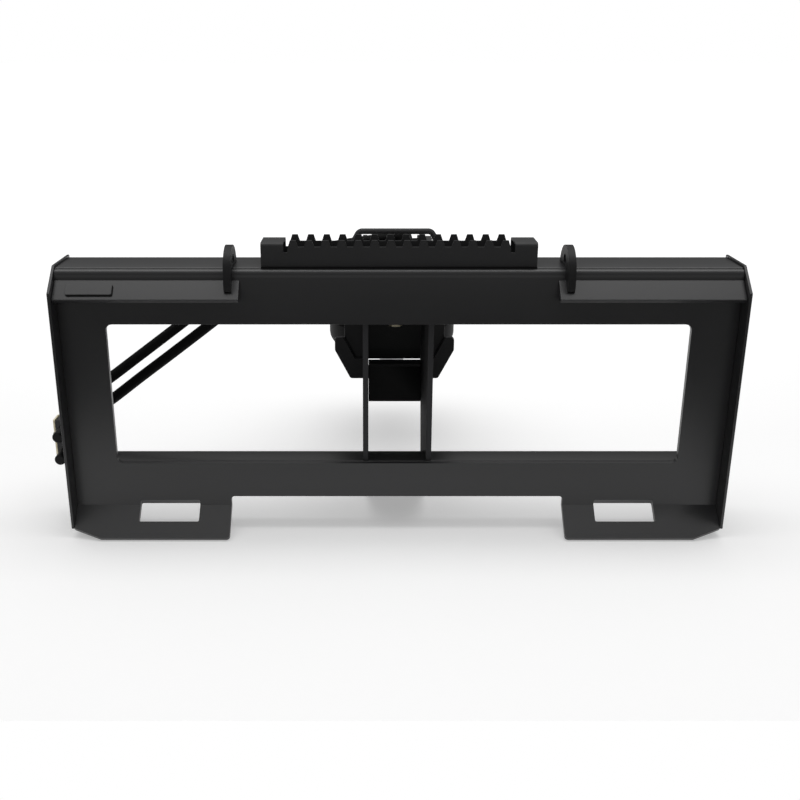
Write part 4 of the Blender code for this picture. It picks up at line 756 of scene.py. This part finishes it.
def crimp_recipe() -> bpy.types.NodeTree:
    """Returns the tree that rolls crimp rings about an upright hose ferrule."""
    recipe = GeometryRecipe("crimp_rings", {
        "Rings": "NodeSocketInt", "Step": "NodeSocketVector", "Start": "NodeSocketVector",
        "Ring": "NodeSocketFloat", "Wire": "NodeSocketFloat", "Finish": "NodeSocketMaterial"})
    line = recipe.node("GeometryNodeMeshLine", {"mode": "OFFSET"}, {
        "Count": recipe.given("Rings"), "Start Location": recipe.given("Start"),
        "Offset": recipe.given("Step")})
    hoop = recipe.node("GeometryNodeCurvePrimitiveCircle", {"mode": "RADIUS"},
                       {"Resolution": 40, "Radius": recipe.given("Ring")})
    section = recipe.node("GeometryNodeCurvePrimitiveCircle", {"mode": "RADIUS"},
                          {"Resolution": 8, "Radius": recipe.given("Wire")})
    ring = recipe.node("GeometryNodeCurveToMesh", {}, {"Curve": hoop, "Profile Curve": section})
    smooth = recipe.node("GeometryNodeSetShadeSmooth", {}, {"Geometry": ring, "Shade Smooth": True})
    rings = recipe.node("GeometryNodeInstanceOnPoints", {}, {"Points": line, "Instance": smooth})
    return recipe.close(rings)


@dataclass
class QuickAttachFrame:
    """The frame that the machine's coupler takes: plate, rails, side plates, lips, lugs and step."""

    plate_edge: float = 0.0011
    lug_edge: float = 0.0011 * 1.3
    rail_edge: float = 0.0007
    badge_edge: float = 0.0003
    half_width: float = 0.5667
    rail_front: float = 0.0987
    rail_under: float = 0.3841
    low_rail_under: float = 0.0772
    low_rail_front: float = 0.0606
    plate_front: float = 0.0095
    bead: float = 0.0036
    seam_start: float = 0.016
    seam_end: float = 0.094
    side_seam_low: float = 0.134
    side_seam_high: float = 0.378
    low_seam_z: float = 0.132
    low_seam_back: float = 0.002
    step_half: float = 0.2274
    # Size of the near-black strip of painted shade under the step's rear web.
    strip_rear: float = 0.0096
    strip_front: float = 0.0130
    strip_low: float = 0.4706
    strip_high: float = 0.4741
    strip_round: float = 0.0003
    # Shift of the identity plate's near-black copy, its painted shadow.
    badge_shadow_shift: tuple[float, float, float] = (0.0014, -0.0005, -0.0014)

    def build(self, shop: Workshop) -> None:
        """Builds the frame's pieces."""
        for node in ("main_plate", "side_plate_left", "side_plate_right",
                     "upper_lip_left", "upper_lip_right"):
            shop.broken_edges(node, self.plate_edge, COAT, Body.FRAME)
        for node in ("top_rail", "lower_rail"):
            shop.broken_edges(node, self.rail_edge, COAT, Body.FRAME)
        shop.broken_edges("step_plank", self.badge_edge, DULL, Body.FRAME)
        # The lifting lugs take the painted-shade coat, darker than the rest of the frame.
        for node in ("lifting_lug_left", "lifting_lug_right"):
            shop.broken_edges(node, self.lug_edge, PAINTED_SHADE_COAT, Body.FRAME, 3)
        shop.broken_edges("identity_plate", self.badge_edge, COAT, Body.FRAME)
        # Painted shade: a near-black strip under the step's rear web.
        shop.hang(new_piece("step_painted_shade_strip", self.painted_shade_strip()), SEAL, Body.FRAME)
        # Painted shadow: a near-black copy of the identity plate, shifted right and down, shows as a dark rim
        # along its lower and right edges.
        badge_shadow = clean(shop.nodes["identity_plate"].data.copy())
        badge_shadow.transform(Matrix.Translation(self.badge_shadow_shift))
        shop.hang(new_piece("identity_plate_painted_shadow", badge_shadow), SEAL, Body.FRAME)
        welds = GeometryRecipe.run("frame_welds", polyline("frame_welds", self.seams()), weld_recipe(), {
            "Bead": self.bead, "Ripple": self.bead * 0.9, "Finish": shop.material(COAT)})
        shop.hang(welds, COAT, Body.FRAME)

    def painted_shade_strip(self) -> bpy.types.Mesh:
        """Returns the near-black strip of painted shade under the step's rear web, a dark line where the gap
        lies in shadow.
        """
        strip = bmesh.new()
        bmesh.ops.create_cube(strip, size=1.0)
        low = at(-self.step_half, self.strip_rear, self.strip_low)
        high = at(self.step_half, self.strip_front, self.strip_high)
        bmesh.ops.scale(strip, vec=high - low, verts=strip.verts)
        bmesh.ops.translate(strip, vec=(low + high) / 2, verts=strip.verts)
        lengthwise = [edge for edge in strip.edges
                      if abs(edge.verts[0].co.x - edge.verts[1].co.x) > self.step_half]
        bmesh.ops.bevel(strip, geom=lengthwise, offset=self.strip_round, segments=2, affect="EDGES")
        mesh = bpy.data.meshes.new("step_painted_shade_strip")
        strip.to_mesh(mesh)
        strip.free()
        return smooth_sharp(mesh)

    def seams(self) -> list[list[Vector]]:
        """Returns the runs that are welded on the frame's front side."""
        in_by = self.bead * 0.6
        x = self.half_width - in_by
        low = self.low_rail_under - in_by
        runs = [[at(-x, self.plate_front + in_by, low), at(x, self.plate_front + in_by, low)]]
        for side in (-1, 1):
            edge, rear, under = side * x, self.plate_front + in_by, self.rail_under - in_by
            front = self.low_rail_front - self.low_seam_back
            runs.append([at(edge, rear, self.side_seam_low), at(edge, rear, self.side_seam_high)])
            runs.append([at(edge, self.seam_start, under), at(edge, self.seam_end, under)])
            runs.append([at(edge, front, self.low_seam_z), at(edge, self.seam_start, self.low_seam_z)])
        return runs


@dataclass
class Boom:
    """The boom: cheeks, web, tie, cradle and face plates, clevis arms, foot and hose guard."""

    edge: float = 0.0011
    bar_radius: float = 0.0055
    loop_top: float = 0.4932
    loop_half: float = 0.0619
    loop_bend: float = 0.0102
    loop_splay: float = math.radians(29)
    loop_leg: float = 0.028
    loop_foot_half: float = 0.088
    loop_foot: float = 0.4303
    loop_y: float = 0.26565
    loop_steps: int = 12
    nut_edge: float = 0.0006
    pin_edge: float = 0.0014
    collar_edge: float = 0.0010
    bolt_edge: float = 0.0005
    bead: float = 0.0034
    cheek_outer: float = 0.060
    foot_inner: float = 0.0505
    foot_run: tuple[float, float, float] = (0.160, 0.272, 0.0122)
    rail_run: tuple[float, float, float] = (0.0992, 0.388, 0.432)
    under_run: tuple[float, float, float] = (0.018, 0.095, 0.3815)
    face_run: tuple[float, float, float] = (0.2585, 0.318, 0.428)
    arm_run: tuple[float, float, float] = (0.2722, 0.349, 0.417)
    arm_sides: tuple[float, float] = (0.0665, 0.0825)

    def build(self, shop: Workshop) -> None:
        """Builds the boom's pieces."""
        # The cheeks take the painted-light coat, lighter than the rest of the frame.
        for node in ("boom_cheek_left", "boom_cheek_right"):
            shop.broken_edges(node, self.edge, LIGHTENED_CHEEK_COAT, Body.FRAME)
        # The plates between the cheeks take the painted-shade coat.
        for node in ("boom_web", "tie_plate", "cradle_plate", "boom_face_plate"):
            shop.broken_edges(node, self.edge, PAINTED_SHADE_COAT, Body.FRAME)
        for node in ("clevis_arm_left", "clevis_arm_right", "stand_foot"):
            shop.broken_edges(node, self.edge, COAT, Body.FRAME)
        shop.broken_edges("tie_nut", self.nut_edge, YELLOW, Body.FRAME)
        shop.broken_edges("tie_bolt", self.nut_edge, YELLOW, Body.FRAME)
        shop.broken_edges("hinge_pin", self.pin_edge, ZINC, Body.FRAME, 3)
        shop.broken_edges("pin_collar", self.collar_edge, ZINC, Body.FRAME)
        shop.broken_edges("collar_bolt", self.bolt_edge, ZINC, Body.FRAME)
        loop = new_piece("hose_guard_loop_finished", tube("guard", self.loop_points(), self.bar_radius, 24))
        shop.hang(loop, BAR, Body.FRAME, "hose_guard_loop")
        welds = GeometryRecipe.run("boom_welds", polyline("boom_welds", self.seams()), weld_recipe(), {
            "Bead": self.bead, "Ripple": self.bead * 0.9, "Finish": shop.material(COAT)})
        shop.hang(welds, COAT, Body.FRAME)

    def loop_points(self) -> list[Vector]:
        """Returns the bent bar's centre line."""
        top = self.loop_top - self.bar_radius
        half = []
        for k in range(self.loop_steps + 1):
            angle = math.pi / 2 + (self.loop_splay - math.pi / 2) * k / self.loop_steps
            half.append((self.loop_half + self.loop_bend * math.cos(angle),
                         top - self.loop_bend + self.loop_bend * math.sin(angle)))
        bend_x, bend_z = half[-1]
        half.append((bend_x + self.loop_leg * math.sin(self.loop_splay),
                     bend_z - self.loop_leg * math.cos(self.loop_splay)))
        half += [(self.loop_foot_half, self.loop_foot + self.bar_radius),
                 (self.loop_foot_half, self.loop_foot)]
        path = [(-x, z) for x, z in reversed(half)] + half
        return [at(x, self.loop_y, z) for x, z in path]

    def seams(self) -> list[list[Vector]]:
        """Returns the runs that are welded on the boom."""
        runs = []
        (rail_y, rail_low, rail_high), (face_y, face_low, face_high) = self.rail_run, self.face_run
        (under_rear, under_front, under_z), (foot_rear, foot_front, foot_z) = self.under_run, self.foot_run
        arm_y, arm_low, arm_high = self.arm_run
        for side in (-1, 1):
            x = side * (self.cheek_outer + self.bead * 0.6)
            foot_x = side * (self.foot_inner - self.bead * 0.6)
            runs.append([at(x, rail_y, rail_low), at(x, rail_y, rail_high)])
            runs.append([at(x, under_rear, under_z), at(x, under_front, under_z)])
            runs.append([at(x, face_y, face_low), at(x, face_y, face_high)])
            runs.append([at(foot_x, foot_rear, foot_z), at(foot_x, foot_front, foot_z)])
            for arm_x in self.arm_sides:
                runs.append([at(side * arm_x, arm_y, arm_low), at(side * arm_x, arm_y, arm_high)])
        return runs


@dataclass
class HosePair:
    """The two hoses with their clamp, ends and the fittings at the motor."""

    radius: float = 0.010
    step: float = 0.006
    ferrule_radius: float = 0.0128
    ferrule_low: float = 0.3505
    ferrule_y: float = 0.4102
    port_x: float = 0.026
    plate_edge: float = 0.0005
    clamp_edge: float = 0.0010
    nipple_edge: float = 0.0004
    fitting_edge: float = 0.0006
    crimps: int = 5
    crimp_step: float = 0.0042
    crimp_wire: float = 0.0011
    crimp_rise: float = 0.004
    upper: list[tuple[float, float, float]] = field(default_factory=lambda: [
        (-0.5933, 0.0385, 0.171), (-0.5933, 0.066, 0.171), (-0.5933, 0.0945, 0.171), (-0.5930, 0.114, 0.1720),
        (-0.5850, 0.148, 0.184), (-0.5640, 0.178, 0.206), (-0.5314, 0.195, 0.2282), (-0.478, 0.205, 0.267),
        (-0.4257, 0.215, 0.305), (-0.360, 0.227, 0.353), (-0.300, 0.240, 0.397), (-0.252, 0.252, 0.426),
        (-0.195, 0.266, 0.442), (-0.130, 0.282, 0.454), (-0.060, 0.292, 0.464), (-0.010, 0.300, 0.469),
        (0.018, 0.322, 0.468), (0.026, 0.356, 0.458), (0.026, 0.390, 0.436), (0.026, 0.4065, 0.412),
        (0.026, 0.4102, 0.396), (0.026, 0.4102, 0.384), (0.026, 0.4102, 0.3732)])
    lower: list[tuple[float, float, float]] = field(default_factory=lambda: [
        (-0.5933, 0.0385, 0.129), (-0.5933, 0.066, 0.129), (-0.5933, 0.0945, 0.129), (-0.5930, 0.114, 0.1300),
        (-0.5860, 0.150, 0.141), (-0.5670, 0.180, 0.162), (-0.5352, 0.195, 0.1826), (-0.482, 0.205, 0.222),
        (-0.4286, 0.215, 0.2605), (-0.360, 0.226, 0.311), (-0.300, 0.236, 0.356), (-0.245, 0.248, 0.394),
        (-0.196, 0.264, 0.417), (-0.145, 0.285, 0.430), (-0.095, 0.304, 0.442), (-0.056, 0.326, 0.448),
        (-0.034, 0.352, 0.448), (-0.026, 0.381, 0.437), (-0.026, 0.4045, 0.414), (-0.026, 0.4102, 0.396),
        (-0.026, 0.4102, 0.384), (-0.026, 0.4102, 0.3732)])

    def build(self, shop: Workshop) -> None:
        """Builds the hoses, the clamp and the fittings."""
        for name, route in (("upper", self.upper), ("lower", self.lower)):
            self.hose(shop, name, route)
        shop.broken_edges("clamp_weld_plate", self.plate_edge, COAT, Body.FRAME)
        shop.broken_edges("clamp_cover_plate", self.plate_edge, YELLOW, Body.FRAME)
        for node in ("clamp_half_inner", "clamp_half_outer"):
            shop.broken_edges(node, self.clamp_edge, CLAMP, Body.FRAME)
        shop.broken_edges("clamp_bolt", self.plate_edge, ZINC, Body.FRAME)
        for end in ("upper", "lower"):
            shop.broken_edges("hose_nipple_" + end, self.nipple_edge, ZINC, Body.FRAME)
            shop.broken_edges("hose_cap_" + end, self.fitting_edge, CAP, Body.FRAME)
        crimps = crimp_recipe()
        for side, name in ((-1, "left"), (1, "right")):
            shop.broken_edges("port_elbow_" + name, self.fitting_edge, ZINC, Body.DRIVE)
            shop.broken_edges("hose_ferrule_" + name, self.fitting_edge, ZINC, Body.DRIVE)
            start = at(side * self.port_x, self.ferrule_y, self.ferrule_low + self.crimp_rise)
            seed = polyline("seed", [[at(0, 0, 0), at(0, 0, MM)]])
            rings = GeometryRecipe.run("ferrule_crimps_" + name, seed, crimps, {
                "Rings": self.crimps, "Step": (0.0, 0.0, self.crimp_step), "Ring": self.ferrule_radius,
                "Wire": self.crimp_wire, "Start": tuple(start), "Finish": shop.material(ZINC)})
            shop.hang(rings, ZINC, Body.DRIVE)

    def hose(self, shop: Workshop, name: str, route: Sequence[tuple[float, float, float]]) -> None:
        """Builds one wrapped hose along its route and hides the CAD hose that it stands for."""
        points = smooth_route([at(*place) for place in route], self.step)
        piece = new_piece("pressure_hose_" + name, tube("pressure_hose_" + name, points, self.radius, 22))
        piece.data.materials.append(shop.material(HOSE))
        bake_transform(piece)
        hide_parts("hose_" + name)
        LOG.info("%s bends between frame and drive, %d faces", piece.name, len(piece.data.polygons))


@dataclass
class DriveHead:
    """The hanging drive: hood, gearbox, motor and the gears inside."""

    axis_y: float = 0.490
    cover_top: float = 0.2762
    cover_thick: float = 0.012
    cover_radius: float = 0.130
    cover_bore: float = 0.022
    cover_circle: float = 0.119
    cap_top: float = 0.366
    cap_low: float = 0.3503
    cap_radius: float = 0.045
    cap_round: float = 0.004
    hood_edge: float = 0.0011
    housing_edge: float = 0.0012
    motor_edge: float = 0.0018
    fitting_edge: float = 0.0006
    seal_edge: float = 0.0004
    bolt_sharp: float = math.radians(30)
    cover_bolts: tuple[int, float, float] = (12, 0.0085, 0.0080)
    motor_bolts: tuple[int, float, float] = (7, 0.0065, 0.0050)
    motor_circle: float = 0.036

    def build(self, shop: Workshop) -> None:
        """Builds the drive's pieces."""
        for node in ("hood_tube", "hood_cheek_left", "hood_cheek_right"):
            shop.broken_edges(node, self.hood_edge, PAINT, Body.DRIVE)
        shop.broken_edges("gearbox_housing", self.housing_edge, PAINT, Body.DRIVE)
        shop.broken_edges("oil_plug", self.fitting_edge, YELLOW, Body.DRIVE)
        shop.broken_edges("motor_body", self.motor_edge, CAST, Body.DRIVE, 3)
        shop.broken_edges("motor_ring", self.fitting_edge, TURNED, Body.DRIVE)
        for node in ("output_bearing", "planet_carrier", "output_shaft"):
            body = Body.DRIVE if node == "output_bearing" else Body.CARRIER
            shop.broken_edges(node, self.fitting_edge, TURNED, body)
        shop.broken_edges("shaft_seal", self.seal_edge, SEAL, Body.DRIVE)
        for node in ("ring_gear", "sun_shaft", "planet_gear_1", "planet_gear_2", "planet_gear_3"):
            shop.paint_node(node, GEAR)
        self.covers(shop)

    def covers(self, shop: Workshop) -> None:
        """Builds the gearbox cover and the motor's end cap with their bolts."""
        bolts = bolt_circle_recipe()
        rim = self.cover_thick / 6
        top, low = self.cover_top, self.cover_top - self.cover_thick
        profile = [(self.cover_radius - rim, top), (self.cover_radius, top - rim), (self.cover_radius, low),
                   (self.cover_bore, low), (self.cover_bore, top)]
        centre = at(0, self.axis_y, 0)
        cover = new_piece("gearbox_cover_finished", lathe("gearbox_cover_finished", profile, centre, 128))
        shop.hang(cover, PAINT, Body.DRIVE, "gearbox_cover")
        self.bolt_ring(shop, bolts, "cover_bolts", self.cover_bolts, self.cover_circle, top)
        r, c = self.cap_radius, self.cap_round
        profile = [(0.0, self.cap_top), (r - c, self.cap_top), (r - c * 0.3, self.cap_top - c * 0.3),
                   (r, self.cap_top - c), (r, self.cap_low), (0.0, self.cap_low)]
        cap = new_piece("motor_end_cap_finished", lathe("motor_end_cap_finished", profile, centre, 96))
        shop.hang(cap, CAST, Body.DRIVE, "motor_end_cap")
        self.bolt_ring(shop, bolts, "motor_bolts", self.motor_bolts, self.motor_circle, self.cap_top)

    def bolt_ring(self, shop: Workshop, recipe: bpy.types.NodeTree, name: str,
                  bolts: tuple[int, float, float], circle: float, seat: float) -> None:
        """Sets a ring of bolts, given as count, head and rise, on a face of the drive."""
        count, head, rise = bolts
        seed = polyline("seed", [[at(0, 0, 0), at(0, 0, MM)]])
        turn = Matrix.Rotation(math.pi / count, 4, "Z")
        centre = at(0, self.axis_y, seat)
        ring = GeometryRecipe.run(name, seed, recipe, {
            "Bolts": count, "Circle": circle, "Head": head, "Rise": rise, "Centre": (0.0, 0.0, 0.0),
            "Finish": shop.material(ZINC)})
        ring.data.transform(Matrix.Translation(centre) @ turn)
        smooth_sharp(ring.data, self.bolt_sharp)
        shop.hang(ring, ZINC, Body.DRIVE)


@dataclass
class Studio:
    """The floor, the lights and the camera of the photograph's view."""

    camera_place: tuple[float, float, float] = (-0.0503, -1.6305, 0.8234)
    pitch: float = math.radians(19.513)
    focal_pixels: float = 1011.2
    principal_x: float = 368.5
    image: float = 800.0
    sensor: float = 36.0
    floor_front: float = -0.5425
    floor_half: float = 40.0
    floor_colour: float = 0.80
    # Painted glow on the floor near the object, then where and how fast it brightens with depth towards
    # white.
    painted_floor_glow: float = 0.32
    glow_ramp_start: float = 0.25
    glow_ramp_rate: float = 0.22
    far_ceiling: float = 0.88
    near_ceiling: float = 0.30
    near_wall: float = 0.50
    far_wall: float = 0.10
    ceiling_from: float = 0.25
    ceiling_rate: float = 1.6
    band_height: float = 0.10
    band_rate: float = 9.0
    room_fill: float = 0.03
    lamp_place: tuple[float, float, float] = (0.0, 0.12, 2.4)
    lamp_size: tuple[float, float] = (3.0, 1.2)
    lamp_power: float = 24.5

    def build(self) -> None:
        """Builds the studio."""
        self.camera()
        self.floor()
        self.world()
        self.lamps()

    def camera(self) -> None:
        """Places the camera where the photograph was taken from."""
        data = bpy.data.cameras.new("photograph_camera")
        data.sensor_width = self.sensor
        data.lens = self.focal_pixels / self.image * self.sensor
        data.shift_x = (self.image / 2 - self.principal_x) / self.image
        data.clip_end = 200.0
        camera = bpy.data.objects.new("photograph_camera", data)
        camera.location = at(*self.camera_place)
        camera.rotation_euler = (math.pi / 2 - self.pitch, 0.0, 0.0)
        bpy.context.scene.collection.objects.link(camera)
        bpy.context.scene.camera = camera

    def floor(self) -> None:
        """Lays the pale floor, which ends where the photograph's does."""
        front = self.floor_front - SOLE_Y
        corners = [(-self.floor_half, front, 0.0), (self.floor_half, front, 0.0),
                   (self.floor_half, self.floor_half, 0.0), (-self.floor_half, self.floor_half, 0.0)]
        mesh = bpy.data.meshes.new("studio_floor")
        mesh.from_pydata(corners, [], [(0, 1, 2, 3)])
        tree = Surface("studio_floor_paper")
        fine = tree.noise(30.0, 2.0)
        colour = tree.blend(fine, rgba(self.floor_colour * 0.985), rgba(self.floor_colour))
        # Painted light: to the camera and in reflections the floor glows, dimly near the object and brighter
        # with depth up to white far off, in place of light falling on it.
        seen = tree.node("ShaderNodeLightPath", output="Is Camera Ray")
        seen = (seen + seen.sibling("Is Glossy Ray")).clamped()
        depth = tree.node("ShaderNodeSeparateXYZ", {}, {0: tree.place()}, 1)
        painted_glow_ramp = ((depth - self.glow_ramp_start) * self.glow_ramp_rate).clamped()
        shown = tree.blend(painted_glow_ramp, rgba(self.painted_floor_glow), rgba(1.0))
        mesh.materials.append(tree.finish({"Specular IOR Level": 0.0, "Emission Strength": 1.0},
                                          {"Base Color": colour, "Roughness": fine * 0.05 + 0.9,
                                           "Emission Color": tree.blend(seen, rgba(0.0), shown)}))
        new_piece("studio_floor", mesh)

    def world(self) -> None:
        """Makes the world white to the camera, and a dim room with a bright ceiling to the object."""
        world = bpy.data.worlds.new("studio_room")
        bpy.context.scene.world = world
        world.use_nodes = True
        tree = Tree(world.node_tree)
        shader = world.node_tree.nodes["Background"]
        way = tree.node("ShaderNodeTexCoord", output="Generated")
        parts = tree.node("ShaderNodeSeparateXYZ", {}, {0: way})
        up, ahead = parts.sibling(2), parts.sibling(1)
        overhead = (ahead * 0.5 + 0.5).clamped() * self.far_ceiling + self.near_ceiling
        ceiling = ((up - self.ceiling_from) * self.ceiling_rate).clamped() * overhead
        off = up - self.band_height
        band = (1.0 - off * off * self.band_rate).clamped()
        wall = (ahead * -1.0).clamped() * self.near_wall + self.far_wall
        level = ceiling + band * wall + self.room_fill
        seen = tree.node("ShaderNodeLightPath", output="Is Camera Ray")
        shown = seen + level * (1.0 - seen)
        world.node_tree.links.new(shown.socket, shader.inputs["Strength"])
        shader.inputs["Color"].default_value = (1.0, 1.0, 1.0, 1.0)

    def lamps(self) -> None:
        """Hangs the soft lamp overhead."""
        data = bpy.data.lights.new("overhead_softbox", "AREA")
        data.shape = "RECTANGLE"
        data.size, data.size_y = self.lamp_size
        data.energy = self.lamp_power
        lamp = bpy.data.objects.new("overhead_softbox", data)
        lamp.location = at(*self.lamp_place)
        bpy.context.scene.collection.objects.link(lamp)


def main() -> None:
    """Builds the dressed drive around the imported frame."""
    logging.basicConfig(level=logging.INFO, format="%(message)s")
    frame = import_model()
    bpy.context.scene.view_settings.view_transform = "Standard"
    Studio().build()
    shop = Workshop(frame)
    for assembly in (QuickAttachFrame(), Boom(), HosePair(), DriveHead()):
        assembly.build(shop)
        LOG.info("built %s", type(assembly).__name__)


if __name__ == "__main__":
    main()
